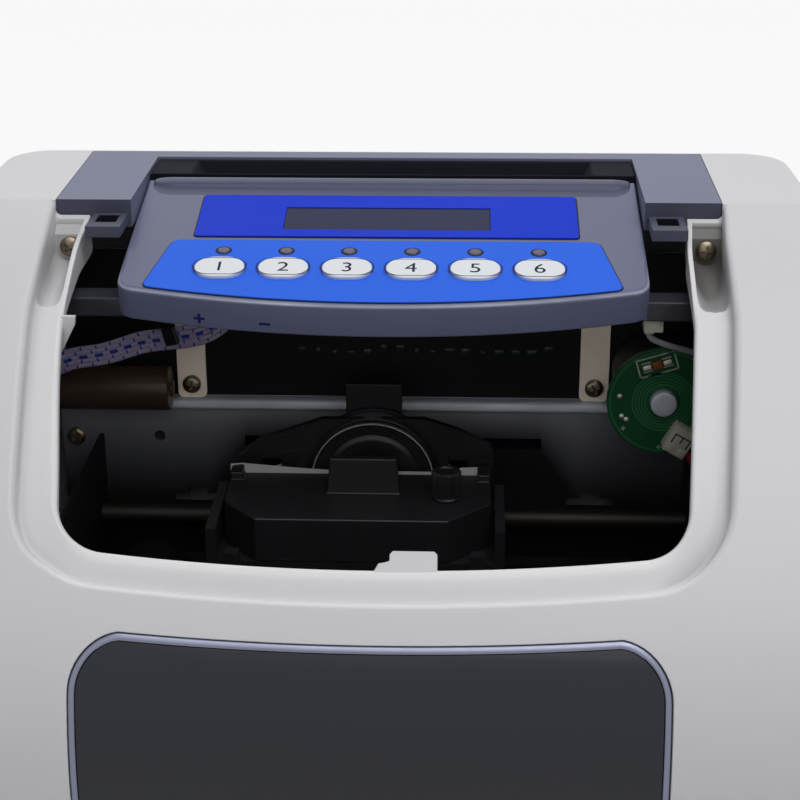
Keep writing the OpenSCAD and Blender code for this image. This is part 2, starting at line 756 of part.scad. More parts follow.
// Shield behind the print head, drawn in X and Z about the middle of the carriage
shield_t = 2.5;
shield = [[-car_w / 2 + 1.5, tray_z[0]], [-car_w / 2 + 1.5, 126], [-36, 130], [-31.2, 134.7], [-23.1, 137.6],
  [-11.8, 141.7], [18.5, 142], [28.4, 138.7], [38.3, 133.8], [39, 130.9], [39, tray_z[0]]];
module on_head() {
  translate([head_x, head_p[0], head_p[1]]) rotate([-90, 0, 0]) children();
}
module carriage() {
  rail_w = 2.8;
  color([0.08, 0.08, 0.09]) difference() {
    union() {
      box([car_l, tray_y[0], tray_z[0]], [car_r, tray_y[1], tray_z[1]]);
      box([car_l, tray_y[0], tray_z[0]], [car_l + rail_w, 30, 124]);
      box([car_r - rail_w, tray_y[0], tray_z[0]], [car_r, 30, 124]);
      for (x = [car_l + 5.5, car_r - 9.5]) box([x, -6, tray_z[0]], [x + 4, tray_y[0] + 0.5, 118]);
      for (x = bush_x) {
        box([x, tray_y[0], tray_z[0] - 0.1], [x + bush_len, rear_shaft[0] + 5.4, tray_z[1]]);
        for (p = [rear_shaft, front_shaft])
          box([x, p[0] - 5.4, p[1] - 5.4], [x + bush_len, p[0] + 5.4, tray_z[0] + 0.1]);
      }
      for (s = [-21.2, 21.2])
        box([head_x + s - 1.4, head_p[0] - 0.6, tray_z[0]], [head_x + s + 1.4, tray_y[1], 128]);
      translate([car_x, tray_y[1], 0]) rotate([90, 0, 0]) linear_extrude(shield_t) polygon(shield);
      on_head() translate([0, 0, 4]) linear_extrude(3) intersection() {
        circle(24);
        translate([-cradle_w, -15]) square([2 * cradle_w, 25]);
      }
      box([spine_x[0], 11, spine_z[0]], [spine_x[1], 18, tray_z[0] + 0.1]);
      box([spine_x[0], 11, spine_z[0]], [spine_x[1], belt_y[1] + 1, spine_z[1]]);
      box([spine_x[0], belt_y[0] - 2, belt_top - 2.2], [spine_x[1], belt_y[1] + 1, spine_z[0] + 0.1]);
    }
    on_head() translate([0, 0, -8]) cylinder(h = 12, r = ring_r + 0.8);
    on_head() cylinder(h = 20, r = head_r + 0.4);
    for (x = bush_x, p = [rear_shaft, front_shaft])
      rod_x(x - 1, x + bush_len + 1, p[0], p[1], bush_d + 0.04);
    box([spine_x[0] - 1, belt_y[0] - gap, belt_top - belt_t / 2 - gap],
      [spine_x[1] + 1, belt_y[1] + gap, belt_top + belt_t / 2 + gap]);
    for (x = ribbon_gate)
      box([x - 3, tray_y[1] - shield_t - 1, tray_z[1]], [x + 3, tray_y[1] + 1, ribbon_low[1] + ribbon_h]);
  }
}
module shaft_bushes() {
  color("darkgoldenrod") for (x = bush_x, p = [rear_shaft, front_shaft]) difference() {
    rod_x(x, x + bush_len, p[0], p[1], bush_d);
    rod_x(x - 1, x + bush_len + 1, p[0], p[1], shaft_d + 2 * run_gap);
  }
}
module print_head() {
  nose_len = ribbon_y[1] - gap - head_p[0];
  color([0.12, 0.12, 0.13]) on_head() union() {
    translate([0, 0, 1.2]) cylinder(h = 8, r = head_r);
    for (z = [3.4, 6.2]) translate([0, 0, z]) cylinder(h = 1.2, r = head_r + 0.3);
    translate([0, 0, 9]) cylinder(h = 1.5, r = flange_r);
    translate([0, 0, 10.4]) cylinder(h = 12.5, r1 = 16, r2 = 6);
    translate([-4, -2, 20]) cube([8, 4, nose_len - 20]);
    translate([0, 0, -0.4]) cylinder(h = 1.8, r = 13.5);
  }
}
module head_ring() {
  color("silver") on_head() rotate_extrude()
    polygon([[13.6, -1], [ring_r - 0.8, -1], [ring_r, -0.2], [ring_r, 1.2], [13.6, 1.2]]);
}
module head_flex() {
  color([0.05, 0.05, 0.06]) difference() {
    box([head_x - 8.3, 42, 128], [head_x + 8.3, 46, 150.6]);
    on_head() cylinder(h = 20, r = flange_r + 0.2);
  }
}

// Ribbon cartridge: a flat box with cut front corners, a grip and two ears that lead the ribbon out
cart_l = car_l + 4;
cart_r = car_r - 4;
cart_y = [-2.8 + gap, 29.5];
ear_top = 129.6;
knob_p = [car_x + 25.3, 13.1];
knob_stem = 3;
grip_x = car_x + 1.5;
module ribbon_cartridge() {
  chamfer_y = 9.5;
  color([0.07, 0.07, 0.08]) difference() {
    union() {
      translate([0, 0, tray_z[1]]) linear_extrude(cart_top - tray_z[1])
        polygon([[cart_l + 10, cart_y[0]], [cart_r - 12, cart_y[0]], [cart_r, chamfer_y],
          [cart_r, cart_y[1]], [cart_l, cart_y[1]], [cart_l, chamfer_y]]);
      for (x = [cart_l, cart_r - 3.6]) box([x, 24, tray_z[1]], [x + 3.6, 31, ear_top]);
      translate([grip_x, 16.2, cart_top - 1]) rotate([84, 0, 0]) translate([0, 0, -1.4]) linear_extrude(2.8)
        polygon([[-10.6, 0], [10.6, 0], [9.6, 11.5], [-9.6, 11.5]]);
    }
    rod_z(tray_z[1] + 3, cart_top + 1, knob_p[0], knob_p[1], knob_stem + 0.1);
  }
}
// Ink ribbon: a run behind the cartridge from ear to ear, and one that goes round the nose of the head
ribbon_run = [30.2, 118.6];
ribbon_y = [30.9, 59.9];
ribbon_low = [114.5, 119];
ribbon_h = 10;
ribbon_t = 0.3;
ribbon_x = [cart_l + 3.8, head_x - 4.6, head_x + 4.6, cart_r - 3.8];
// Where the ribbon's two runs pass the shield
gate_part = (tray_y[1] - shield_t / 2 - ribbon_y[0]) / (ribbon_y[1] - ribbon_y[0]);
ribbon_gate = [ribbon_x[0] + (ribbon_x[1] - ribbon_x[0]) * gate_part,
  ribbon_x[3] + (ribbon_x[2] - ribbon_x[3]) * gate_part];
module ink_ribbon() {
  path = [for (i = [0:3]) let (k = i % 3 == 0 ? 0 : 1) [ribbon_x[i], ribbon_y[k], ribbon_low[k]]];
  n = len(path);
  rows = [[0, 0], [ribbon_t, 0], [ribbon_t, ribbon_h], [0, ribbon_h]];
  points = [for (p = path, r = rows) p + [0, r[0], r[1]]];
  sides = [for (i = [0:n - 2], j = [0:3]) let (a = 4 * i + j, b = 4 * i + (j + 1) % 4)
    each [[a, b + 4, b], [a, a + 4, b + 4]]];
  caps = [[1, 2, 3], [0, 1, 3], [4 * n - 2, 4 * n - 3, 4 * n - 4], [4 * n - 1, 4 * n - 2, 4 * n - 4]];
  color("gainsboro") {
    polyhedron(points, concat(sides, caps));
    translate([ribbon_x[0], ribbon_run[0], ribbon_run[1]])
      cube([ribbon_x[3] - ribbon_x[0], ribbon_t, ribbon_h]);
  }
}
knurls = 24;
module take_up_knob() {
  z0 = cart_top + gap;
  color([0.1, 0.1, 0.11]) difference() {
    union() {
      rod_z(z0, z0 + knob_h, knob_p[0], knob_p[1], knob_d);
      rod_z(tray_z[1] + 3.3, z0 + 1, knob_p[0], knob_p[1], knob_stem);
    }
    for (i = [0:knurls - 1]) rotate_about(knob_p, 360 * i / knurls)
      rod_z(z0 - 1, z0 + knob_h - 1, knob_p[0] + knob_d / 2 + 0.05, knob_p[1], 0.6);
  }
}
module rotate_about(p, a) {
  translate([p[0], p[1], 0]) rotate([0, 0, a]) translate([-p[0], -p[1], 0]) children();
}

// Belt drive of the carriage
pulley_x = 74;
pulley_len = 4;
motor_shaft_d = 3;
module carriage_motor() {
  color("dimgray") difference() {
    union() {
      rod_y(22, belt_y[0] - 1.5, -pulley_x, pulley_z, 25);
      box([-pulley_x - 10, 24, base_top], [-pulley_x + 10, 44, pulley_z - 6]);
    }
    rod_y(30, belt_y[0], -pulley_x, pulley_z, motor_shaft_d + 2 * run_gap);
  }
}
module pulley_body(x) {
  rod_y(belt_y[0] - 0.6, belt_y[1] + 0.6, x, pulley_z, 2 * (pulley_r - belt_t / 2 - 0.05));
}
module drive_pulley() {
  color("goldenrod") union() {
    pulley_body(-pulley_x);
    rod_y(31, belt_y[1], -pulley_x, pulley_z, motor_shaft_d);
  }
}
module idler_pulley() {
  color("goldenrod") difference() {
    pulley_body(pulley_x);
    rod_y(belt_y[0] - 2, belt_y[1] + 2, pulley_x, pulley_z, motor_shaft_d + 2 * run_gap);
  }
}
module drive_belt() {
  color("black") translate([0, belt_y[1], pulley_z]) rotate([90, 0, 0])
    linear_extrude(belt_y[1] - belt_y[0]) difference() {
      belt_side(pulley_r + belt_t / 2);
      belt_side(pulley_r - belt_t / 2);
    }
}
module belt_side(r) {
  square([2 * pulley_x, 2 * r], center = true);
  for (s = [-1, 1]) translate([s * pulley_x, 0]) circle(r);
}

// Card feed: motor in front of the plate, worm, wheel and rollers behind it
motor_front = 34;
can_d = 26;
feed_y = plate_back + 10;
feed_z = motor_z - worm_r - wheel_r - gap;
feed_shaft_d = 4;
roller_w = 10;
roller_r = feed_y - plate_back - 0.5;
worm_y = [feed_y - 7, feed_y + 7];
bracket_x = 87;
bracket_t = 1.5;
module feed_motor() {
  color("gray") difference() {
    union() {
      rod_y(motor_front, plate_y, motor_x, motor_z, can_d);
      rod_y(motor_front - 3.4, motor_front + 1, motor_x, motor_z, 7.3);
    }
    rod_y(48, plate_y + 1, motor_x, motor_z, motor_shaft_d + 2 * run_gap);
  }
}
module motor_board() {
  color("seagreen") difference() {
    rod_y(motor_front - 1.6, motor_front, motor_x, motor_z, motor_board_d);
    rod_y(motor_front - 3, motor_front + 1, motor_x, motor_z, 7.4);
  }
}
plug_at = [motor_x + 4.8, motor_z - 10.6];
plug_turn = 30;
module motor_plug() {
  color("white") translate([plug_at[0], motor_front - 1.6, plug_at[1]]) rotate([0, -plug_turn, 0])
    difference() {
      translate([-3.5, -5.6, -4.2]) cube([7, 5.6, 8.4]);
      translate([-2.4, -6, -2.4]) cube([4.8, 1.2, 3]);
    }
}
// Two leads from the plug down to the main board
lead_r = 0.7;
lead_y = 30;
lead_end_z = board_z + 2.6;
lead_points = [[86.7, 135.3], [88.4, 132.4], [91.5, 129.4], [96, 125.5], [100, 119], [102, 110], [102, 60],
  [101, 34], [96, lead_end_z + 7], [88, lead_end_z + 2], [70, lead_end_z + 0.4], [56, lead_end_z]];
lead_route = [for (p = lead_points) [p[0], lead_y, p[1]]];
function unit(v) = v / norm(v);
function along(path, i) = unit(path[min(i + 1, len(path) - 1)] - path[max(i - 1, 0)]);
function ring_at(p, dir, r, sides, ref) =
  let (u = unit(cross(dir, ref)), v = cross(u, dir))
  [for (k = [0:sides - 1]) p + r * (cos(360 * k / sides) * u + sin(360 * k / sides) * v)];
module tube(path, r, sides, ref) {
  n = len(path);
  points = [for (i = [0:n - 1]) each ring_at(path[i], along(path, i), r, sides, ref)];
  skin = [for (i = [0:n - 2], j = [0:sides - 1])
    let (a = sides * i + j, b = sides * i + (j + 1) % sides)
    each [[a, b, b + sides], [a, b + sides, a + sides]]];
  last = sides * (n - 1);
  ends = [for (j = [1:sides - 2]) each [[0, j + 1, j], [last, last + j, last + j + 1]]];
  polyhedron(points, concat(skin, ends));
}
module motor_leads() {
  color("firebrick") for (dy = [-1.2, 1.2])
    tube([for (p = lead_route) p + [0, dy, 0]], lead_r, 8, [0, 1, 0]);
}
module worm() {
  color("goldenrod") union() {
    rod_y(48.5, worm_y[1], motor_x, motor_z, motor_shaft_d);
    rod_y(worm_y[0], worm_y[1], motor_x, motor_z, 2 * worm_r);
  }
}
wheel_teeth = 24;
module feed_shaft() {
  tooth = 360 / wheel_teeth;
  root_r = wheel_r - 1.2;
  rim = [for (i = [0:wheel_teeth - 1]) each [
    root_r * [cos(i * tooth), sin(i * tooth)],
    wheel_r * [cos((i + 0.3) * tooth), sin((i + 0.3) * tooth)],
    wheel_r * [cos((i + 0.5) * tooth), sin((i + 0.5) * tooth)],
    root_r * [cos((i + 0.8) * tooth), sin((i + 0.8) * tooth)]]];
  color("silver") union() {
    rod_x(-bracket_x - bracket_t - 2, bracket_x + bracket_t + 2, feed_y, feed_z, feed_shaft_d);
    translate([motor_x - 2.5, feed_y, feed_z]) rotate([0, 90, 0]) linear_extrude(5) polygon(rim);
    for (x = [-feed_x, feed_x]) rod_x(x - roller_w / 2, x + roller_w / 2, feed_y, feed_z, 2 * roller_r);
  }
}
module feed_brackets() {
  color("gray") both() difference() {
    union() {
      box([bracket_x, plate_back, feed_z - 9], [bracket_x + bracket_t, feed_y + 6, feed_z + 6]);
      box([bracket_x - 8, plate_back, feed_z - 9], [bracket_x, plate_back + 1.2, feed_z - 3]);
    }
    rod_x(bracket_x - 1, bracket_x + bracket_t + 1, feed_y, feed_z, feed_shaft_d + 2 * run_gap);
  }
}

battery_x = -67.2;
battery_z = 144.1;
module backup_battery() {
  y = plate_y - battery_d / 2 - 0.15;
  color([0.2, 0.16, 0.13]) union() {
    rod_x(battery_x - battery_len, battery_x, y, battery_z, battery_d);
    rod_x(battery_x - 0.5, battery_x + 1, y, battery_z, 5);
  }
}

// Flat cable from the key board to the main board: each point has the direction of the cable's width
flat_w = 6.6;
flat_t = 1;
clip_p = [-62, 34, throat_z - 18.6];
flat_route = [
  [[-37, con_y + 33, con_z - 3], [0.8, 0.3, 0.3]], [[-40, con_y + 36, con_z - 10.1], [0.6, 0.3, 0.6]],
  [[-45.5, 26.5, clip_p[2] + 8.6], [0.3, 0.3, 0.9]], [[-53, 30, clip_p[2] + 3.2], [0.2, 0.2, 1]],
  [clip_p, [0.1, 0, 1]], [[-72, 38, clip_p[2] - 2.8], [0.1, 0, 1]], [[-84, 42, clip_p[2] - 7.9], [0.1, 0, 1]],
  [[-95.4, 44, clip_p[2] - 10.7], [0.1, 0, 1]], [[-100.6, 43.4, clip_p[2] - 14.4], [0.4, 0, 0.9]],
  [[-102.2, 42.4, clip_p[2] - 20.9], [0, 0.7, 0.7]],
  [[-102.4, 42, clip_p[2] - 31.4], [0, 1, 0]], [[-102.4, 40, 90], [0, 1, 0]], [[-102.4, 20, 40], [0, 1, 0]],
  [[-100, 12, board_z + 12], [0, 1, 0]], [[-94, 10, board_z + 4.4], [0, 1, 0]],
  [[-80, 10, board_z + 3], [0, 1, 0]], [[-56, 10, board_z + 2.5], [0, 1, 0]]];
function flat_ring(i) =
  let (path = [for (q = flat_route) q[0]], dir = along(path, i))
  let (w0 = flat_route[i][1], w = unit(w0 - dir * (w0 * dir)), t = cross(dir, w))
  [for (k = [[-1, -1], [1, -1], [1, 1], [-1, 1]]) path[i] + w * flat_w / 2 * k[0] + t * flat_t / 2 * k[1]];
module ribbon_cable() {
  n = len(flat_route);
  points = [for (i = [0:n - 1]) each flat_ring(i)];
  skin = [for (i = [0:n - 2], j = [0:3]) let (a = 4 * i + j, b = 4 * i + (j + 1) % 4)
    each [[a, b + 4, b], [a, a + 4, b + 4]]];
  ends = [[0, 1, 2], [0, 2, 3], [4 * n - 4, 4 * n - 2, 4 * n - 3], [4 * n - 4, 4 * n - 1, 4 * n - 2]];
  color("lavender") polyhedron(points, concat(skin, ends));
}
module cable_clip() {
  color([0.08, 0.08, 0.08]) translate(clip_p) rotate([0, -17, -22.5])
    translate([-2.2, -flat_t / 2 - 1.75, -1.6]) cube([4.4, 1.2, 5.4]);
}
// Small plug under the right of the console, with its round lead
signal_r = 0.9;
plug_y = arm_y + 3;
signal_route = [[72.4, plug_y + 3, arm_z - 3.4], [72.7, plug_y + 3, arm_z - 5.8], [74.4, plug_y + 3.6, arm_z - 7.6],
  [78.8, 16.4, arm_z - 9.9], [85.5, 20, arm_z - 13], [92, 22.6, arm_z - 16.4], [97, 24, arm_z - 22],
  [100, 24, arm_z - 31], [101, 24, 140], [101, 24, 80], [101, 22, 36], [96, 20, board_z + 8],
  [88, 19, board_z + 4], [70, 19, board_z + 3.2], [56, 19, board_z + 2.8]];
module signal_lead() {
  color("lightgray") union() {
    box([70.9, plug_y, arm_z - 4.2], [76.2, plug_y + 5, arm_z]);
    tube(signal_route, signal_r, 8, [0, 1, 0]);
  }
}

board_t = 1.6;
module main_board() {
  color("darkgreen") difference() {
    union() {
      box([-58, -40, board_z], [58, 48, board_z + board_t]);
      box([-16, -12, board_z + 1], [10, 14, board_z + 5]);
      for (x = [-42, 26]) box([x, -34, board_z + 1], [x + 16, -22, board_z + 9]);
    }
    both() for (y = standoff_y) rod_z(board_z - 1, board_z + board_t + 1, standoff_x, y, 3.2);
  }
}
module power_inlet() {
  front = back_y - wall - 12;
  color([0.1, 0.1, 0.1]) difference() {
    union() {
      box([inlet_x - 6, front, base_top], [inlet_x + 6, back_y - wall, inlet_z + 6]);
      rod_y(front + 1, back_y - 0.4, inlet_x, inlet_z, inlet_d);
    }
    difference() {
      rod_y(front + 3, back_y + 1, inlet_x, inlet_z, 5.6);
      rod_y(front + 2, back_y - 3, inlet_x, inlet_z, 2);
    }
  }
}

// Pan-head screws, all driven from the front
head_h = 2.2;
module pan_screw(x, seat_y, z) {
  difference() {
    union() {
      rod_y(seat_y - head_h, seat_y, x, z, screw_head_d);
      rod_y(seat_y - 0.2, seat_y + screw_len, x, z, screw_d);
    }
    for (a = [0, 90])
      translate([x, seat_y - head_h, z]) rotate([0, a, 0]) cube([0.8, 2, 3.2], center = true);
  }
}
module pan_screws() {
  color("silver") {
    for (s = [-1, 1]) {
      pan_screw(s * pocket_x, pocket_wall_y, pocket_axis_z);
      for (z = chassis_z) pan_screw(s * chassis_x, plate_y, z);
      pan_screw(s * strap_x, plate_y - strap_t, strap_screw_z);
    }
  }
}

front_shell();
rear_shell();
base_plate();
rubber_feet();
top_cover();
card_throat();
display_trim();
display_lens();
display_board();
console_housing();
display_panel();
key_panel();
lcd_window();
key_board();
status_lights();
setup_board();
chassis_plate();
strap_brackets();
side_frames();
guide_shafts();
carriage();
shaft_bushes();
print_head();
head_ring();
head_flex();
ribbon_cartridge();
ink_ribbon();
take_up_knob();
carriage_motor();
drive_pulley();
idler_pulley();
drive_belt();
feed_motor();
motor_board();
motor_plug();
motor_leads();
worm();
feed_shaft();
feed_brackets();
backup_battery();
ribbon_cable();
cable_clip();
signal_lead();
main_board();
power_inlet();
pan_screws();
clock_key_1();
clock_key_2();
clock_key_3();
clock_key_4();
clock_key_5();
clock_key_6();
setup_key_1();
setup_key_2();
setup_key_3();
setup_key_4();
setup_key_5();
setup_key_6();
setup_key_7();
setup_key_8();
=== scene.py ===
import json
import math
import random

import bmesh
import bpy
from mathutils import Matrix, Vector
from mathutils.geometry import delaunay_2d_cdt
from mathutils.kdtree import KDTree

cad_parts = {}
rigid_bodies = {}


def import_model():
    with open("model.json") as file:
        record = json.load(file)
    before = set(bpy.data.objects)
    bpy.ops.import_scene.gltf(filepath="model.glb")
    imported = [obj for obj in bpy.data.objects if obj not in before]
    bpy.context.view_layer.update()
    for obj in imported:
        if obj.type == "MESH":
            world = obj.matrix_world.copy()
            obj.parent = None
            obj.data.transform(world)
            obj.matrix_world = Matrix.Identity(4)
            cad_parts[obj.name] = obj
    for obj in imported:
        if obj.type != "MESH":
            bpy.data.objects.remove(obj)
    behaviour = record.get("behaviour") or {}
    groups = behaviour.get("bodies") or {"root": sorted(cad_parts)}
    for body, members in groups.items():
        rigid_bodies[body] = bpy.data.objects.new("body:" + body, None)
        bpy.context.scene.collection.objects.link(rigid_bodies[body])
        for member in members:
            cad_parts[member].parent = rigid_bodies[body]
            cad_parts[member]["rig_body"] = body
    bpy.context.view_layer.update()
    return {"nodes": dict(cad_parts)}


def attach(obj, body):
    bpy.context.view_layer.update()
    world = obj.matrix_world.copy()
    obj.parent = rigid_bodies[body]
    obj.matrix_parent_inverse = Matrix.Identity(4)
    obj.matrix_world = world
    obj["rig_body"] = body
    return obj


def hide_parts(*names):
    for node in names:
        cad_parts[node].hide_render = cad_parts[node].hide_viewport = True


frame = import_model()
mm = 0.001
print("frame loaded,", len(frame["nodes"]), "nodes")

# Camera
viewpoint = {
    "target": (0.03, 12.5, 154.4),
    "distance": 520,
    "elevation": 22,
    "azimuth": 2.754,
    "roll": -0.385,
    "lens": 83.52,
    "sensor": 36,
    "shift": (0.01875, 0.0125),
}


def placeCamera(view):
    rise, turn, roll = (math.radians(view[k]) for k in ("elevation", "azimuth", "roll"))
    look = Vector((-math.sin(turn) * math.cos(rise), math.cos(turn) * math.cos(rise), -math.sin(rise)))
    level = Vector((math.cos(turn), math.sin(turn), 0))
    upright = level.cross(look)
    right = level * math.cos(roll) + upright * math.sin(roll)
    up = upright * math.cos(roll) - level * math.sin(roll)
    lens = bpy.data.cameras.new("viewCamera")
    lens.lens, lens.sensor_width = view["lens"], view["sensor"]
    lens.shift_x, lens.shift_y = view["shift"]
    lens.clip_start, lens.clip_end = 0.02, 20
    camera = bpy.data.objects.new("viewCamera", lens)
    bpy.context.scene.collection.objects.link(camera)
    place = Matrix((right, up, -look)).transposed().to_4x4()
    place.translation = (Vector(view["target"]) - look * view["distance"]) * mm
    camera.matrix_world = place
    bpy.context.scene.camera = camera


placeCamera(viewpoint)
print("camera placed")


# Shader sockets as Python values
class Wire:
    def __init__(self, tree, socket=None):
        self.tree, self.socket = tree, socket

    # Any node: its type, its settings, then the values or wires of its sockets
    def node(self, kind, settings=None, sockets=None, out=0):
        made = self.tree.nodes.new(kind)
        for name, value in (settings or {}).items():
            setattr(made, name, value)
        for key, value in (sockets or {}).items():
            target = made.inputs[key]
            if isinstance(value, Wire):
                self.tree.links.new(value.socket, target)
            else:
                target.default_value = value
        return Wire(self.tree, made.outputs[out])

    # Another output of the same node
    def output(self, name):
        return Wire(self.tree, self.socket.node.outputs[name])

    def maths(self, operation, first, second=0.0, clamp=False):
        return self.node("ShaderNodeMath", {"operation": operation, "use_clamp": clamp}, {0: first, 1: second})

    def __add__(self, other):
        return self.maths("ADD", self, other)

    def __radd__(self, other):
        return self.maths("ADD", other, self)

    def __sub__(self, other):
        return self.maths("SUBTRACT", self, other)

    def __rsub__(self, other):
        return self.maths("SUBTRACT", other, self)

    def __mul__(self, other):
        return self.maths("MULTIPLY", self, other)

    def __rmul__(self, other):
        return self.maths("MULTIPLY", other, self)

    def __truediv__(self, other):
        return self.maths("DIVIDE", self, other)

    def __rtruediv__(self, other):
        return self.maths("DIVIDE", other, self)

    def __pow__(self, other):
        return self.maths("POWER", self, other)

    def __gt__(self, other):
        return self.maths("GREATER_THAN", self, other)

    def __lt__(self, other):
        return self.maths("LESS_THAN", self, other)


# sRGB 0-255 to the linear colour of a shader socket
def paint(red, green, blue):
    def linear(v):
        v /= 255
        return v / 12.92 if v <= 0.04045 else ((v + 0.055) / 1.055) ** 2.4
    return (linear(red), linear(green), linear(blue), 1)


def mixed(wire, factor, first, second):
    sockets = {"Factor": factor, "A": first, "B": second}
    return wire.node("ShaderNodeMix", {"data_type": "RGBA"}, sockets, out="Result")


def noise(wire, place, scale, detail=3.0, rough=0.55):
    sockets = {"Vector": place, "Scale": scale, "Detail": detail, "Roughness": rough}
    return wire.node("ShaderNodeTexNoise", {}, sockets)


# Start of a material: the tree's wire, object coordinates and the shader
def startFinish(name):
    made = bpy.data.materials.new(name)
    made.use_nodes = True
    tree = made.node_tree
    shader = tree.nodes["Principled BSDF"]
    start = Wire(tree)
    place = start.node("ShaderNodeTexCoord", out="Object")
    return made, start, place, shader


def feed(start, shader, name, value):
    if isinstance(value, Wire):
        start.tree.links.new(value.socket, shader.inputs[name])
    else:
        shader.inputs[name].default_value = value


# A finish taken up again: its tree, shader, colour so far and object coordinates
def reopened(made):
    start = Wire(made.node_tree)
    shader = made.node_tree.nodes["Principled BSDF"]
    colour = Wire(start.tree, shader.inputs["Base Color"].links[0].from_socket)
    place = start.node("ShaderNodeTexCoord", out="Object")
    return start, shader, colour, place, start.node("ShaderNodeSeparateXYZ", {}, {"Vector": place})


# Moulded plastic: fine grain, cloudy tone, uneven gloss and pale scuffs, and where given, painted shade and painted
# highlight from a vertex attribute
def plasticFinish(name, tone, rough, grain=0.05, grainScale=2600, cloud=0.06, scuff=0.0, coat=0.0, specular=0.5,
                  paintedLight=None):
    made, start, place, shader = startFinish(name)
    broad = noise(start, place, 26, 4)
    fine = noise(start, place, grainScale, 2)
    darker = tuple(c * (1 - cloud) for c in tone[:3]) + (1,)
    lighter = tuple(min(1, c * (1 + cloud)) for c in tone[:3]) + (1,)
    colour = mixed(start, broad, darker, lighter)
    if scuff:
        streak = start.node("ShaderNodeMapping", {}, {"Vector": place, "Scale": (60, 900, 500)})
        marks = noise(start, streak, 1.0, 2)
        marks = marks.maths("SUBTRACT", marks, 0.66, True) * 3
        colour = mixed(start, marks * scuff, colour, (0.6, 0.6, 0.6, 1))
    # Painted light: above 0 the vertex attribute darkens the colour towards the given shade colour, below 0 it
    # lightens it towards white as a painted highlight
    if paintedLight:
        paintedLightAmount = start.node("ShaderNodeAttribute", {"attribute_name": "paintedLight"}, out="Fac")
        colour = mixed(start, paintedLightAmount, colour, paintedLight)
        colour = mixed(start, 0 - paintedLightAmount, colour, (0.97, 0.97, 0.97, 1))
    feed(start, shader, "Base Color", colour)
    feed(start, shader, "Roughness", broad * 0.12 + (fine * 0.08 + (rough - 0.1)))
    bump = start.node("ShaderNodeBump", {}, {"Strength": grain, "Distance": 0.0002, "Height": fine})
    feed(start, shader, "Normal", bump)
    feed(start, shader, "Coat Weight", coat)
    feed(start, shader, "Coat Roughness", 0.12)
    feed(start, shader, "Specular IOR Level", specular)
    return made


# Metal: brushed along one axis, with a patchy tarnish
def metalFinish(name, tone, rough, brush=(900, 60, 900), tarnish=0.25, lines=0.06, sheen=1.0):
    made, start, place, shader = startFinish(name)
    stretched = start.node("ShaderNodeMapping", {}, {"Vector": place, "Scale": brush})
    lined = noise(start, stretched, 1.0, 3)
    patch = noise(start, place, 70, 5)
    worn = tuple(c * 0.55 for c in tone[:3]) + (1,)
    tarnished = patch.maths("SUBTRACT", patch, 0.45, True) * (2 * tarnish)
    feed(start, shader, "Base Color", mixed(start, tarnished, tone, worn))
    feed(start, shader, "Metallic", sheen - tarnished * 0.3)
    feed(start, shader, "Roughness", lined * 0.18 + (patch * 0.1 + (rough - 0.12)))
    bump = start.node("ShaderNodeBump", {}, {"Strength": lines, "Distance": 0.0002, "Height": lined})
    feed(start, shader, "Normal", bump)
    return made


# Printed circuit board: green resist with lighter tracks and bright pads
def boardFinish(name):
    made, start, place, shader = startFinish(name)
    grid = start.node("ShaderNodeMapping", {}, {"Vector": place, "Scale": (420, 420, 420)})
    cells = start.node("ShaderNodeTexBrick", {"offset": 0.37}, {
        "Vector": grid, "Color1": (1, 1, 1, 1), "Color2": (0.35, 0.35, 0.35, 1), "Mortar": (0, 0, 0, 1),
        "Scale": 0.45, "Mortar Size": 0.06})
    speckle = noise(start, place, 300, 3)
    colour = mixed(start, cells, paint(8, 30, 17), paint(18, 62, 36))
    feed(start, shader, "Base Color", mixed(start, (speckle > 0.68) * 0.5, colour, paint(120, 130, 120)))
    feed(start, shader, "Roughness", 0.3 + speckle * 0.2)
    bump = start.node("ShaderNodeBump", {}, {"Strength": 0.2, "Distance": 0.0002, "Height": cells})
    feed(start, shader, "Normal", bump)
    return made


# Sheet steel of the chassis with painted light: lit pale along its top, fading into painted shade towards its foot and
# behind the head
chassisShade = {"headHalf": 0.045, "fade": 80.0, "shadeUpTo": 0.122, "besideLower": 0.019, "litFrom": 0.135}


def chassisFinish(name, tone, spec):
    made = metalFinish(name, tone, 0.46, (60, 900, 900), 0.4, 0.05, sheen=0.45)
    start, shader, colour, _, split = reopened(made)
    upward = split.output("Z")
    aside = split.maths("ABSOLUTE", split)
    beside = aside.maths("MULTIPLY", aside - spec["headHalf"], spec["fade"], True)
    foot = spec["shadeUpTo"] - beside * spec["besideLower"]
    share = upward.maths("DIVIDE", upward - foot, spec["litFrom"] - foot, True)
    # Painted shade colour mixed in towards the foot and behind the head
    feed(start, shader, "Base Color", mixed(start, share ** 1.5, paint(34, 34, 37), colour))
    return made


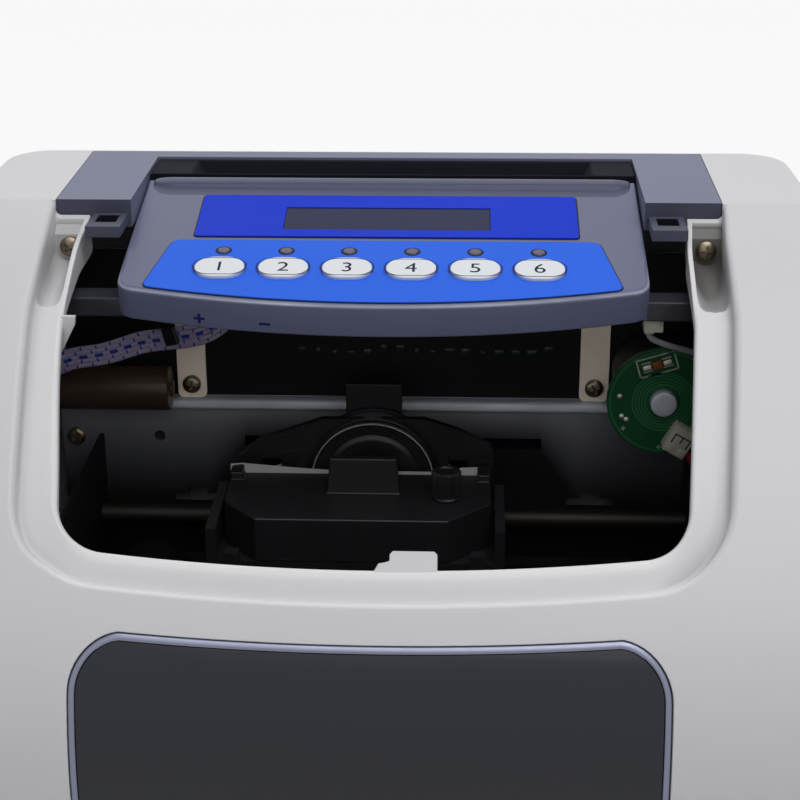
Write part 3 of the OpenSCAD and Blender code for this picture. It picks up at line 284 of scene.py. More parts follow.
# Tone, roughness, grain, grain scale, cloud, specular
plasticTones = {
    "white_abs": ((226, 226, 229), 0.42, 0.06, 3200, 0.012, 0.4),
    "dark_abs": ((40, 41, 46), 0.5, 0.1, 2200, 0.08, 0.25),
    "black_abs": ((29, 29, 32), 0.42, 0.1, 2200, 0.12, 0.35),
    "smoked_lens": ((36, 38, 48), 0.16, 0.01, 2600, 0.05, 0.3),
    "panel_dark_blue": ((18, 60, 222), 0.45, 0.05, 3600, 0.03, 0.06),
    "panel_blue": ((50, 114, 255), 0.45, 0.05, 3600, 0.03, 0.06),
    "panel_edge": ((22, 24, 52), 0.5, 0.05, 3600, 0.05, 0.1),
    "key_white": ((246, 250, 255), 0.4, 0.03, 3600, 0.02, 0.2),
    "lcd": ((38, 44, 80), 0.3, 0.01, 2600, 0.08, 0.05),
    "light_lens": ((80, 74, 100), 0.22, 0.02, 2600, 0.1, 0.3),
    "plate_black": ((20, 20, 22), 0.6, 0.1, 2200, 0.12, 0.2),
    "throat_dark": ((28, 30, 38), 0.7, 0.1, 2200, 0.08, 0.04),
    # Darker copy of the console grey for its ridge: painted shade in the hollow sweep
    "ridge_grey_shaded": ((80, 84, 110), 0.42, 0.06, 2600, 0.04, 0.1),
    "ribbon": ((226, 226, 224), 0.8, 0.4, 1800, 0.12, 0.2),
    "rubber": ((26, 26, 27), 0.75, 0.2, 1500, 0.15, 0.3),
    "connector_white": ((230, 226, 214), 0.45, 0.04, 2600, 0.04, 0.3),
    "wire_red": ((196, 34, 28), 0.4, 0.03, 2600, 0.1, 0.5),
    "wire_grey": ((178, 178, 186), 0.45, 0.03, 2600, 0.08, 0.5),
    "sleeve_brown": ((84, 68, 54), 0.36, 0.05, 1500, 0.15, 0.4),
    "key_print": ((30, 34, 60), 0.6, 0.02, 2600, 0.05, 0.1),
    "lip_print": ((30, 32, 96), 0.6, 0.02, 2600, 0.05, 0.1),
    "silk_white": ((214, 216, 210), 0.6, 0.02, 2600, 0.05, 0.1),
    "motor_green": ((30, 92, 56), 0.4, 0.05, 900, 0.25, 0.3),
    "trace_green": ((64, 134, 88), 0.35, 0.05, 900, 0.15, 0.3),
    "part_amber": ((176, 92, 44), 0.4, 0.02, 2600, 0.1, 0.3),
}
plasticExtras = {
    # Colour of the painted shade in the front shell's screw pockets and along its ledges
    "white_abs": {"paintedLight": paint(98, 97, 95)},
    "dark_abs": {"scuff": 0.04},
    "black_abs": {"scuff": 0.08},
    "ridge_grey_shaded": {"coat": 0.2},
}
# Tone, roughness, brushing along each axis, tarnish, depth of the lines, sheen
metalTones = {
    "trim_chrome": ((122, 125, 142), 0.34, (400, 400, 400), 0.1, 0.01, 1.0),
    "plate_steel": ((150, 152, 160), 0.46, (60, 900, 900), 0.4, 0.05, 0.45),
    "strap_steel": ((255, 245, 233), 0.78, (900, 900, 70), 0.25, 0.3, 1.0),
    "bend_steel": ((196, 198, 206), 0.7, (60, 900, 900), 0.35, 0.05, 1.0),
    "bright_steel": ((246, 234, 224), 0.55, (900, 900, 70), 0.2, 0.2, 0.6),
    "dark_steel": ((134, 123, 104), 0.36, (500, 500, 500), 0.5, 0.05, 1.0),
    "shaft_steel": ((62, 60, 58), 0.55, (40, 1200, 1200), 0.4, 0.04, 1.0),
    "brass": ((196, 160, 96), 0.34, (500, 500, 500), 0.4, 0.06, 1.0),
}
finishes = {"board_green": boardFinish("board_green"),
            "chassis_steel_painted_shade": chassisFinish("chassis_steel_painted_shade", paint(188, 190, 200), chassisShade)}
for finishName, (tone, *numbers, specular) in plasticTones.items():
    extras = plasticExtras.get(finishName, {})
    finishes[finishName] = plasticFinish(finishName, paint(*tone), *numbers, specular=specular, **extras)
for finishName, (tone, *numbers) in metalTones.items():
    finishes[finishName] = metalFinish(finishName, paint(*tone), *numbers)
print("finishes made,", len(finishes))


def addPiece(name, mesh, finish, body, stands=()):
    piece = bpy.data.objects.new(name, mesh)
    bpy.context.scene.collection.objects.link(piece)
    piece.data.materials.clear()
    piece.data.materials.append(finishes[finish])
    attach(piece, body)
    if stands:
        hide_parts(*stands)
    return piece


# Cords, on the routes of their solids
def smoothRoute(points, steps=8):
    line = []
    count = len(points)
    for i in range(count - 1):
        a, b, c, d = (Vector(points[min(max(i + k, 0), count - 1)]) for k in (-1, 0, 1, 2))
        for s in range(steps):
            t = s / steps
            line.append(0.5 * (2 * b + (c - a) * t + (2 * a - 5 * b + 4 * c - d) * t ** 2
                               + (3 * b - a - 3 * c + d) * t ** 3))
    return line + [Vector(points[-1])]


def lengthOf(line):
    return sum((b - a).length for a, b in zip(line, line[1:]))


leadRoute = [(86.7, 135.3), (88.4, 132.4), (91.5, 129.4), (96, 125.5), (100, 119), (102, 110), (102, 60),
             (101, 34), (96, 21.6), (88, 16.6), (70, 15), (56, 14.6)]
signalRoute = [(72.4, 14, 179.4), (72.7, 14, 177), (74.4, 14.6, 175.2), (78.8, 16.4, 172.9), (85.5, 20, 169.8),
               (92, 22.6, 166.4), (97, 24, 160.8), (100, 24, 151.8), (101, 24, 140), (101, 24, 80), (101, 22, 36),
               (96, 20, 20), (88, 19, 16), (70, 19, 15.2), (56, 19, 14.8)]
roundCords = {
    "motorLeadFront": {"route": [(x, 28.8, z) for x, z in leadRoute], "radius": 0.7, "finish": "wire_red",
                       "node": "motor_leads"},
    "motorLeadBack": {"route": [(x, 31.2, z) for x, z in leadRoute], "radius": 0.7, "finish": "wire_red",
                      "node": "motor_leads"},
    "signalLead": {"route": signalRoute, "radius": 0.9, "finish": "wire_grey", "node": "signal_lead"},
}


def makeRoundCord(name, spec):
    line = [p * mm for p in smoothRoute(spec["route"])]
    curve = bpy.data.curves.new(name, "CURVE")
    curve.dimensions = "3D"
    curve.bevel_depth = spec["radius"] * mm
    curve.bevel_resolution = 4
    curve.use_fill_caps = True
    strand = curve.splines.new("POLY")
    strand.points.add(len(line) - 1)
    for point, at in zip(strand.points, line):
        point.co = (*at, 1)
    piece = addPiece(name, curve, spec["finish"], "case", stands=[spec["node"]])
    lengthOf(line)
    2 * spec["radius"] * mm


for cordName, cordSpec in roundCords.items():
    makeRoundCord(cordName, cordSpec)

flatCable = {
    "width": 6.6,
    "strands": 5,
    "arc": 6,
    "route": [(-37, 20.5, 190.6), (-40, 23.5, 183.5), (-45.5, 26.5, 176), (-53, 30, 170.6), (-62, 34, 167.4),
              (-72, 38, 164.6), (-84, 42, 159.5), (-95.4, 44, 156.7), (-100.6, 43.4, 153), (-102.2, 42.4, 146.5),
              (-102.4, 42, 136), (-102.4, 40, 90), (-102.4, 20, 40), (-100, 12, 24), (-94, 10, 16.4),
              (-80, 10, 15), (-56, 10, 14.5)],
    "across": [(0.8, 0.3, 0.3), (0.6, 0.3, 0.6), (0.3, 0.3, 0.9), (0.2, 0.2, 1), (0.1, 0, 1), (0.1, 0, 1),
               (0.1, 0, 1), (0.1, 0, 1), (0.4, 0, 0.9), (0, 0.7, 0.7), (0, 1, 0), (0, 1, 0), (0, 1, 0),
               (0, 1, 0), (0, 1, 0), (0, 1, 0), (0, 1, 0)],
    "dash": 5.2,
    "marked": 2,
}


# Lilac strands: long blue dashes on one, small ticks on the others, with painted shade in the grooves between strands
def cableFinish(spec):
    made, start, place, shader = startFinish("cable_lilac")
    along = start.node("ShaderNodeUVMap", {"uv_map": "run"})
    split = start.node("ShaderNodeSeparateXYZ", {}, {"Vector": along})
    across, run = split.output("X"), split.output("Y")
    strand = across.maths("FLOOR", across * spec["strands"])
    centred = across * spec["strands"] - strand
    wander = noise(start, place, 500, 2)
    shifted = run / spec["dash"] + strand * 0.37
    phase = shifted.maths("FRACT", shifted)
    marked = (strand > spec["marked"] - 0.5) * (strand < spec["marked"] + 0.5)
    ink = (phase < marked * 0.42 + (wander * 0.06 + 0.08)) * (centred > 0.2) * (centred < 0.8)
    # Painted shade in the grooves between the strands
    middle = (centred - 0.5) * (centred - 0.5)
    grooveShade = middle.maths("SUBTRACT", middle, 0.15, True) * 14
    grooveShade = grooveShade.maths("MINIMUM", grooveShade, 1.0)
    shade = mixed(start, wander, paint(206, 190, 232), paint(244, 234, 255))
    inked = mixed(start, ink, shade, paint(62, 84, 206))
    feed(start, shader, "Base Color", mixed(start, grooveShade, inked, paint(92, 72, 132)))
    feed(start, shader, "Roughness", 0.46 + wander * 0.16)
    feed(start, shader, "Metallic", 0.4)
    return made


def makeFlatCable(spec):
    steps = 8
    line = smoothRoute(spec["route"], steps)
    sides = smoothRoute(spec["across"], steps)
    pitch = spec["width"] / spec["strands"]
    form = bmesh.new()
    layer = form.loops.layers.uv.new("run")
    rings, marks, travelled = [], [], 0.0
    for i, at in enumerate(line):
        ahead = (line[min(i + 1, len(line) - 1)] - line[max(i - 1, 0)]).normalized()
        side = (sides[i] - ahead * sides[i].dot(ahead)).normalized()
        thick = ahead.cross(side)
        travelled += (at - line[i - 1]).length if i else 0
        ring = []
        for face in (1, -1):
            for k in range(spec["strands"]):
                middle = (k + 0.5 - spec["strands"] / 2) * pitch * face
                for s in range(spec["arc"]):
                    angle = math.pi * (s + 0.5) / spec["arc"]
                    offset = middle - math.cos(angle) * pitch / 2 * face
                    lift = math.sin(angle) * pitch / 2 * face
                    ring.append((at + side * offset + thick * lift) * mm)
        rings.append([form.verts.new(p) for p in ring])
        marks.append(travelled)
    count = len(rings[0])
    half = count // 2
    acrossMark = [(j + 0.5) / half if j < half else (count - j - 0.5) / half for j in range(count)]
    for i in range(len(rings) - 1):
        for j in range(count):
            k = (j + 1) % count
            face = form.faces.new((rings[i][j], rings[i][k], rings[i + 1][k], rings[i + 1][j]))
            face.smooth = True
            for loop, (across, run) in zip(face.loops, ((j, i), (k, i), (k, i + 1), (j, i + 1))):
                loop[layer].uv = (acrossMark[across], marks[run])
    form.faces.new(rings[0][::-1])
    form.faces.new(rings[-1])
    bmesh.ops.recalc_face_normals(form, faces=form.faces)
    mesh = bpy.data.meshes.new("flatCable")
    form.to_mesh(mesh)
    form.free()
    finishes["cable_lilac"] = cableFinish(spec)
    piece = addPiece("flatCable", mesh, "cable_lilac", "case", stands=["ribbon_cable"])
    path = [p * mm for p in line]
    lengthOf(path)


makeFlatCable(flatCable)
print("cords laid")


# Front shell, drawn from the side profile of the case: a hood arc, a nose arc and an upright front
shell = {
    "halfWidth": 118, "front": -87.5, "parting": 29, "creaseY": 29.5, "top": 210, "base": 3, "wall": 2.5,
    "corner": 14, "hoodRadius": 210.998, "hoodStart": 18, "hoodEnd": 52, "nosePull": 0.05, "edgeRound": 3,
    "edgeSteps": 44, "wallSteps": 14, "skinStep": (7, 4.5),
}
opening = {
    "half": 83, "lowHalf": 79, "sillIn": 9, "bow": 650, "corner": 13.5, "knee": 45, "ledge": 9.6, "drop": 4,
    "flange": 6.5, "rimRound": 1.9, "gutterRound": 1.5, "lipRound": 1.2, "thinLip": 0.35,
    "ledgeRows": (7.6, 6.8, 6, 5.2, 4.4, 3.6, 2.9, 2.3, 1.8, 1.5, 1.36, 1.27), "underRows": (4, 7, 10),
}
trough = {
    "x": 88.4, "radius": 4.1, "skin": 1.4, "wallY": 24, "rimY": 27.2, "rampZ": 201.4, "rampStep": 1.5, "deep": 9.5,
    # dark, rampDark and leftDark set the painted shade in the pockets
    "kneeY": 2, "kneeDeep": 4.6, "endY": -5.6, "soft": 0.25, "dark": 4.6, "rampDark": 0.95, "leftDark": 0.4,
}
wing = {"back": 27, "end": -6, "deep": 13.5}
window = {
    "half": 71, "drop": 9.3, "high": 72, "corner": 12, "sag": 2.2, "sagRadius": 900, "trim": 1.8, "seam": 0.15,
    "lip": 0.4,
}
tab = {"x": 10.3, "half": 5.75, "high": 4.4, "thick": 2.0, "root": 3.0, "stepLow": 1.6, "corner": 0.8, "draft": 1.03}

hoodStart, hoodEnd = math.radians(shell["hoodStart"]), math.radians(shell["hoodEnd"])
hoodRadius = shell["hoodRadius"]
creasePoint = Vector((shell["creaseY"], shell["top"]))
hoodCentre = creasePoint + hoodRadius * Vector((math.sin(hoodStart), -math.cos(hoodStart)))
turnPoint = hoodCentre + hoodRadius * Vector((-math.sin(hoodEnd), math.cos(hoodEnd)))
noseRadius = (turnPoint.x - shell["front"]) / (1 - math.sin(hoodEnd)) - shell["nosePull"]
noseCentre = turnPoint + noseRadius * Vector((math.sin(hoodEnd), -math.cos(hoodEnd)))
chord = (turnPoint - creasePoint).normalized()
chordOut = Vector((chord.y, -chord.x))
openLength = (turnPoint - creasePoint).length - opening["sillIn"]
windowTop = turnPoint.y - window["drop"]
hoodRun = hoodRadius * (hoodEnd - hoodStart)
noseRun = noseRadius * (math.pi / 2 - hoodEnd)


# Points along an arc, and round a whole circle
def arcLoop(x, y, radius, first, last, count):
    turns = [first + (last - first) * k / count for k in range(count + 1)]
    return [(x + radius * math.cos(a), y + radius * math.sin(a)) for a in turns]


def circle(x, y, radius, count, turn=0.0):
    turns = [2 * math.pi * k / count + turn for k in range(count)]
    return [(x + radius * math.cos(a), y + radius * math.sin(a)) for a in turns]


def clamped(share):
    return min(1, max(0, share))


def eased(share):
    share = clamped(share)
    return share * share * (3 - 2 * share)


# Point of the hood at a depth below it, on the square to the chord at v
def onHood(x, v, depth):
    foot = creasePoint + chord * v
    for centre, radius in ((hoodCentre, hoodRadius), (noseCentre, noseRadius)):
        out = (foot - centre).dot(chordOut)
        lift = math.sqrt(max(0, out ** 2 - (foot - centre).length_squared + (radius - depth) ** 2)) - out
        point = foot + chordOut * lift
        if math.atan2(hoodCentre.x - point.x, point.y - hoodCentre.y) <= hoodEnd:
            break
    return Vector((x, point.x, point.y))


def hoodHeight(y, depth):
    return hoodCentre.y + math.sqrt((hoodRadius - depth) ** 2 - (y - hoodCentre.x) ** 2)


# Point of the front at height z, straight back from the window's outline
def onFront(x, z, depth):
    radius = noseRadius - depth
    back = math.sqrt(radius ** 2 - max(0, z - noseCentre.y) ** 2)
    return Vector((x, noseCentre.x - back, z))


# Distance down the unrolled profile, and back to a point
def unrolled(y, z):
    if z <= noseCentre.y:
        return hoodRun + noseRun + noseCentre.y - z
    turned = math.atan2(hoodCentre.x - y, z - hoodCentre.y)
    if turned <= hoodEnd:
        return hoodRadius * (turned - hoodStart)
    return hoodRun + noseRadius * (math.atan2(noseCentre.x - y, z - noseCentre.y) - hoodEnd)


def rolled(x, run, depth):
    if run <= hoodRun:
        turned, centre, radius = hoodStart + run / hoodRadius, hoodCentre, hoodRadius
    elif run <= hoodRun + noseRun:
        turned, centre, radius = hoodEnd + (run - hoodRun) / noseRadius, noseCentre, noseRadius
    else:
        return Vector((x, noseCentre.x - noseRadius + depth, noseCentre.y - (run - hoodRun - noseRun)))
    reach = radius - depth
    return Vector((x, centre.x - reach * math.sin(turned), centre.y + reach * math.cos(turned)))


def slopeAt(run):
    if run <= hoodRun:
        return hoodStart + run / hoodRadius
    return min(math.pi / 2, hoodEnd + (run - hoodRun) / noseRadius)


# Half width of the case at y, with the upright corner edge
def halfWidthAt(y):
    start = shell["front"] + shell["corner"]
    if y >= start:
        return shell["halfWidth"]
    reach = min(start - y, shell["corner"])
    return shell["halfWidth"] - shell["corner"] + math.sqrt(shell["corner"] ** 2 - reach ** 2)


# Y of the samples along the straight sides, close together round the screw pockets
troughRows = [29, 28.2, 27.5, 27.22, 27.1, 26.7, 26, 25.4, 24.8, 24.3, 24.02, 23.85, 23, 22, 20, 18, 16, 14, 12, 10, 8,
              6.5, 5, 3.5, 2.5, 1.5, 0.5, -0.4, -1.2, -2, -2.8, -3.6, -4.2, -4.7, -5.05, -5.3, -5.45, -5.54, -5.59,
              -6.4, -8]


# Right half of the opening grown outwards, at one depth, from the parting to the middle of the sill
def openingRow(grow, depth):
    points = [Vector((opening["half"] + grow, y, hoodHeight(y, depth))) for y in troughRows]
    last = (Vector((points[-1].y, points[-1].z)) - creasePoint).dot(chord)
    back, low = opening["half"] + grow, opening["lowHalf"] + grow
    end, bow, corner = openLength + grow, opening["bow"] + grow, opening["corner"] + grow
    centre = Vector((low - corner, end - bow + math.sqrt((bow - corner) ** 2 - (low - corner) ** 2)))
    knee = opening["knee"]
    lean = math.atan((back - low) / (centre.y - knee))
    turn = math.atan2(centre.y - end + bow, centre.x)
    start = centre + corner * Vector((math.cos(lean), math.sin(lean)))
    flat = [(back, last + (knee - last) * k / 3) for k in range(1, 4)]
    flat += [(back + (start.x - back) * k / 10, knee + (start.y - knee) * k / 10) for k in range(1, 11)]
    flat += arcLoop(centre.x, centre.y, corner, lean, turn, 16)[1:]
    flat += arcLoop(0, end - bow, bow, turn, math.pi / 2, 18)[1:]
    return points + [onHood(x, v, depth) for x, v in flat]


def flipped(row):
    return [Vector((-p.x, p.y, p.z)) for p in row]


def mirrored(row):
    return row + flipped(reversed(row[:-1]))


# Height of a screw pocket's floor, or of its underside with a skin, where it has one
def troughFloor(x, y, skin=0.0):
    if not trough["endY"] - skin < y <= trough["rimY"]:
        return None
    past = max(0, trough["kneeY"] - y) / (trough["kneeY"] - trough["endY"] + skin)
    narrow = math.sqrt(1 - past ** 2)
    radius = (trough["radius"] + skin) * math.sqrt(narrow)
    aside = abs(abs(x) - trough["x"])
    if aside >= radius:
        return None
    if y > trough["wallY"]:
        share = (y - trough["wallY"]) / (trough["rimY"] - trough["wallY"])
        rampTop = hoodHeight(trough["rimY"], opening["drop"]) - trough["rampStep"]
        return trough["rampZ"] + (rampTop - trough["rampZ"]) * share
    share = max(0, y - trough["kneeY"]) / (trough["wallY"] - trough["kneeY"])
    deep = (trough["kneeDeep"] + (trough["deep"] - trough["kneeDeep"]) * share) * narrow + skin
    bowl = math.sqrt(1 - (aside / radius) ** 2)
    return hoodHeight(y, opening["drop"]) - (deep * bowl if deep < radius else deep - radius + radius * bowl)


def softLower(a, b, soft):
    share = clamped(0.5 + 0.5 * (a - b) / soft)
    return a + (b - a) * share - soft * share * (1 - share)


def arcSteps(count):
    return [math.pi / 2 * k / count for k in range(count + 1)]


# Rows of the section across the rim, the ledge and the turned-in lip
def rimRows():
    ledge, drop, wall = opening["ledge"], opening["drop"], shell["wall"]
    rim, gutter, lip = opening["rimRound"], opening["gutterRound"], opening["lipRound"]
    section = [(ledge + rim - rim * math.sin(a), rim - rim * math.cos(a)) for a in arcSteps(6)]
    section += [(ledge - gutter * (1 - math.cos(a)), drop - gutter * (1 - math.sin(a))) for a in arcSteps(5)]
    section += [(g, drop) for g in opening["ledgeRows"]]
    rows = []
    for grow, depth in section:
        row = openingRow(grow, depth)
        for p in row[:len(troughRows)]:
            floor = troughFloor(p.x, p.y)
            if floor is not None:
                p.z = softLower(p.z, floor, trough["soft"])
        rows.append(row)
    for a in arcSteps(5):
        row = openingRow(lip - lip * math.sin(a), drop + lip - lip * math.cos(a))
        for p in row[:len(troughRows)]:
            thin = opening["thinLip"] + (lip - opening["thinLip"]) * clamped((-2 - p.y) / 6)
            p.x = opening["half"] + thin - thin * math.sin(a)
            p.z = hoodHeight(p.y, drop + thin - thin * math.cos(a))
        rows.append(row)
    under = [(0, opening["flange"]), (wall / 2, opening["flange"])]
    under += [(g, drop + wall) for g in (wall / 2 + 0.1, *opening["underRows"], ledge + wall)]
    for grow, depth in under:
        row = openingRow(grow, depth)
        for p in row[:len(troughRows)]:
            share = clamped((p.y - wing["end"]) / (wing["back"] - wing["end"]))
            floor = troughFloor(p.x, min(p.y, trough["wallY"]), trough["skin"])
            if grow <= wall / 2:
                p.z = min(p.z, hoodHeight(p.y, opening["flange"] + (wing["deep"] - opening["flange"]) * share))
            elif floor is not None and p.y < trough["rimY"] + trough["skin"]:
                p.z = min(p.z, floor)
        rows.append(row)
    rows.append(openingRow(ledge + wall, wall))
    return [mirrored(row) for row in rows]


# Window outline grown outwards, as (x, z), all the way round
def windowLoop(grow):
    half, corner = window["half"] + grow, window["corner"] + grow
    top, low = windowTop + grow, windowTop - window["high"] - grow
    line = []
    for cx, cz, first in ((half - corner, low + corner, -90), (half - corner, top - corner, 0)):
        for k in range(13):
            angle = math.radians(first + 90 * k / 12)
            line.append((cx + corner * math.cos(angle), cz + corner * math.sin(angle)))
        if first < 0:
            line += [(half, low + corner + (top - low - 2 * corner) * k / 20) for k in range(1, 20)]
    line += [((half - corner) * (1 - k / 20), top) for k in range(1, 20)]
    bottom = [((half - corner) * k / 12, low) for k in range(12)]
    right = bottom + line
    left = [(-x, z) for x, z in reversed(right[1:])]
    radius = window["sagRadius"]
    hump = top - window["sag"] + radius
    return [(x, min(z, hump - math.sqrt(radius ** 2 - x ** 2))) for x, z in right + [(0, top)] + left]


def insideLoop(x, y, loop):
    inside = False
    for (ax, ay), (bx, by) in zip(loop, loop[1:] + loop[:1]):
        if (ay > y) != (by > y) and x < ax + (bx - ax) * (y - ay) / (by - ay):
            inside = not inside
    return inside


# Triangles over the unrolled skin between an outer loop and the window, with rows of points inside
def skinFaces(form, outer, hole, depth, stepX, stepRun):
    flat = [Vector(p) for p in outer + hole]
    count = len(outer)
    edges = [(i, (i + 1) % count) for i in range(count)]
    edges += [(count + i, count + (i + 1) % len(hole)) for i in range(len(hole))]
    near = KDTree(len(flat))
    for i, p in enumerate(flat):
        near.insert((p.x, p.y, 0), i)
    near.balance()
    lowX, highX = min(p.x for p in flat), max(p.x for p in flat)
    lowRun, highRun = min(p.y for p in flat), max(p.y for p in flat)
    for i in range(1, int((highX - lowX) / stepX) + 1):
        for j in range(1, int((highRun - lowRun) / stepRun) + 1):
            x = lowX + i * stepX + (stepX / 2 if j % 2 else 0)
            run = lowRun + j * stepRun
            clear = near.find((x, run, 0))[2] > 0.55 * stepRun
            if clear and insideLoop(x, run, outer) and not insideLoop(x, run, hole):
                flat.append(Vector((x, run)))
    points, _, faces, _, _, _ = delaunay_2d_cdt(flat, edges, [], 0, 1e-6)
    verts = [form.verts.new(rolled(p.x, p.y, depth) * mm) for p in points]
    for face in faces:
        x, run = (sum(points[i][k] for i in face) / 3 for k in (0, 1))
        if insideLoop(x, run, outer) and not insideLoop(x, run, hole):
            form.faces.new([verts[i] for i in face])


def strips(form, rows, closed=False):
    grid = [[form.verts.new(p * mm) for p in row] for row in rows]
    for a, b in zip(grid, grid[1:]):
        span = range(len(a)) if closed else range(len(a) - 1)
        for j in span:
            k = (j + 1) % len(a)
            form.faces.new((a[j], a[k], b[k], b[j]))
    return grid


# A point moved a share of the way straight down to the foot
def dropped(p, share):
    return p.lerp(Vector((p.x, p.y, shell["base"])), share)


# Samples down the side edge of the skin, each with its rounded edge and the side wall below it
def sideRows(depth):
    rows, boundary = [], []
    begin = unrolled(shell["parting"], hoodHeight(shell["parting"], depth))
    stop = hoodRun + noseRun
    count, levels = shell["edgeSteps"], shell["wallSteps"]
    for step in range(count + 1):
        run = begin + (stop - begin) * step / count
        slope = slopeAt(run)
        edge = rolled(0, run, depth)
        half = halfWidthAt(edge.y) - depth
        tuck = max(0, shell["front"] + shell["corner"] - edge.y) / shell["corner"]
        sharp = math.acos(min(1, tuck * math.sin(slope))) / (math.pi / 2)
        radius = shell["edgeRound"] * sharp
        y = min(edge.y + radius * math.sin(slope), shell["parting"])
        start = Vector((half - radius, edge.y, edge.z))
        corner = Vector((half, edge.y, edge.z))
        finish = Vector((halfWidthAt(y) - depth, y, edge.z - radius * math.cos(slope)))
        arc = [start * (1 - t) ** 2 + corner * (2 * t * (1 - t)) + finish * t ** 2
               for t in (0, 0.2, 0.4, 0.6, 0.8, 1)]
        rows.append(arc + [dropped(finish, k / levels) for k in range(1, levels + 1)])
        boundary.append((half - radius, run))
    return rows, boundary


# Painted light over the rows of the rim, ledge and lip: painted highlight on the rounded edges below 0, painted shade
# on the ledge and gutter above 0
edgePaintedLight = {
    "sill": [0, -0.5, -0.85, -1, -1, -1, -0.9, -0.5, -0.1, 0, 0, 0, 0,
             0, -0.03, -0.06, -0.1, -0.16, -0.25, -0.45, -0.8, -1, -1, -1, -1] + [-1] * 6,
    "low": [0, 0, -0.1, -0.2, -0.2, -0.1, 0, 0, 0, 0.1, 0.2, 0.3, 0.4,
            0.42, 0.35, 0.28, 0.24, 0.2, 0.17, 0.15, 0.13, 0.1, 0.08, 0.06, 0.04] + [-0.05] * 6,
    "high": [0, 0, 0, 0, 0, 0, 0.04, 0.1, 0.28, 0.36, 0.36, 0.28, 0.2,
             0.1, 0.02, -0.1, -0.2, -0.25, -0.25, -0.25, -0.25, -0.3, -0.3, -0.3, -0.3] + [-0.5] * 6,
    "firstLedge": 13, "sideLow": (168, 32), "corner": (62, 14), "behind": (10, 12), "left": (0.5, 0.08),
}


# Painted light along the sill, low on the sides and high on the sides, blended by place, with less painted shade and a
# brighter ledge on the left
def rimGrime(k, at):
    if k >= len(edgePaintedLight["sill"]):
        return 0
    (lowZ, lowSpan), (turnX, turnSpan) = edgePaintedLight["sideLow"], edgePaintedLight["corner"]
    backY, backSpan = edgePaintedLight["behind"]
    onLedge = k >= edgePaintedLight["firstLedge"]
    low = edgePaintedLight["low"][k]
    if at.x <= 0:
        less, brighter = edgePaintedLight["left"]
        low = low * less - (brighter if onLedge else 0)
    lowness = eased((lowZ - at.z) / lowSpan)
    side = edgePaintedLight["high"][k] * (1 - lowness) + low * lowness
    turn = eased((abs(at.x) - (4 if onLedge else 9) - turnX) / turnSpan)
    behind = eased((at.y - backY) / backSpan)
    return (edgePaintedLight["sill"][k] * (1 - turn) + side * turn) * (1 - behind)


# Outer and inner skin of the shell, joined along its rim, its foot and its window
def makeFrontShell():
    form = bmesh.new()
    # Vertex attribute carrying the painted shade and painted highlight of the rim rows
    layer = form.verts.layers.float.new("paintedLight")
    rows = rimRows()
    for k, row in enumerate(strips(form, rows)):
        for vert in row:
            vert[layer] = rimGrime(k, vert.co / mm)
    wall, levels = shell["wall"], shell["wallSteps"]
    bottomRun = unrolled(shell["front"], shell["base"])
    feet = []
    for depth, lead in ((0, rows[0]), (wall, rows[-1])):
        sides, boundary = sideRows(depth)
        cornerX, cornerRun = boundary[-1]
        below = [(cornerX, cornerRun + (bottomRun - cornerRun) * k / levels) for k in range(1, levels + 1)]
        right = boundary + below
        across = [(cornerX * (1 - k / 10), bottomRun) for k in range(1, 20)]
        left = [(-x, run) for x, run in reversed(right)]
        notch = [(p.x, unrolled(p.y, p.z)) for p in reversed(lead)]
        grow = window["trim"] + window["seam"] + (window["lip"] if depth == 0 else 0)
        hole = [(x, unrolled(onFront(x, z, depth).y, z)) for x, z in windowLoop(grow)]
        skinFaces(form, right + across + left + notch, hole, depth, *shell["skinStep"])
        strips(form, sides)
        corner = [[dropped(p, k / levels) for p in sides[-1][:6]] for k in range(levels + 1)]
        strips(form, corner)
        for grid in (sides, corner):
            strips(form, [flipped(row) for row in grid])
        foot = [row[-1] for row in sides] + corner[-1][4::-1]
        feet.append(mirrored(foot + [rolled(x, run, depth) for x, run in across[:10]]))
    strips(form, feet)
    grow = window["trim"] + window["seam"]
    lip = window["lip"]
    lips = [(grow + lip * (1 - math.sin(a)), lip * (1 - math.cos(a))) for a in arcSteps(3)] + [(grow, wall)]
    strips(form, [[onFront(x, z, t) for x, z in windowLoop(g)] for g, t in lips], True)
    return form


# Tab on the sill, with a low step beside it
def makeSillTab(form):
    half, high, step, corner = tab["half"], tab["high"], tab["stepLow"], tab["corner"]
    outline = [(-half - 5, tab["root"]), (-half - 2.6, 0.3 - step), (-half - 1, -step), (-half, -step - 0.4),
               (-half, corner - high), (corner - half, -high), (half - corner, -high), (half, corner - high),
               (half, tab["root"])]

    def row(draft, pull, depth):
        return [onHood(tab["x"] + x * draft, openLength + v - pull, opening["drop"] + depth) for x, v in outline]
    top, edge, low = row(1, 0, 0.05), row(tab["draft"], 0.25, 0.4), row(tab["draft"], 0.25, tab["thick"])
    grid = strips(form, [top, edge, low], True)
    form.faces.new(grid[0])
    form.faces.new(grid[-1][::-1])


# Stiffening web behind the left edge of the opening
web = {"y": -8, "thick": 1.5, "line": [(-84, 188.6), (-80.5, 188.55), (-80.6, 186.4), (-84, 178.6)]}


def makeWeb(form, spec):
    ends = [[Vector((x, spec["y"] + side * spec["thick"] / 2, z)) for x, z in spec["line"]] for side in (-1, 1)]
    grid = strips(form, ends, True)
    form.faces.new(grid[0][::-1])
    form.faces.new(grid[1])


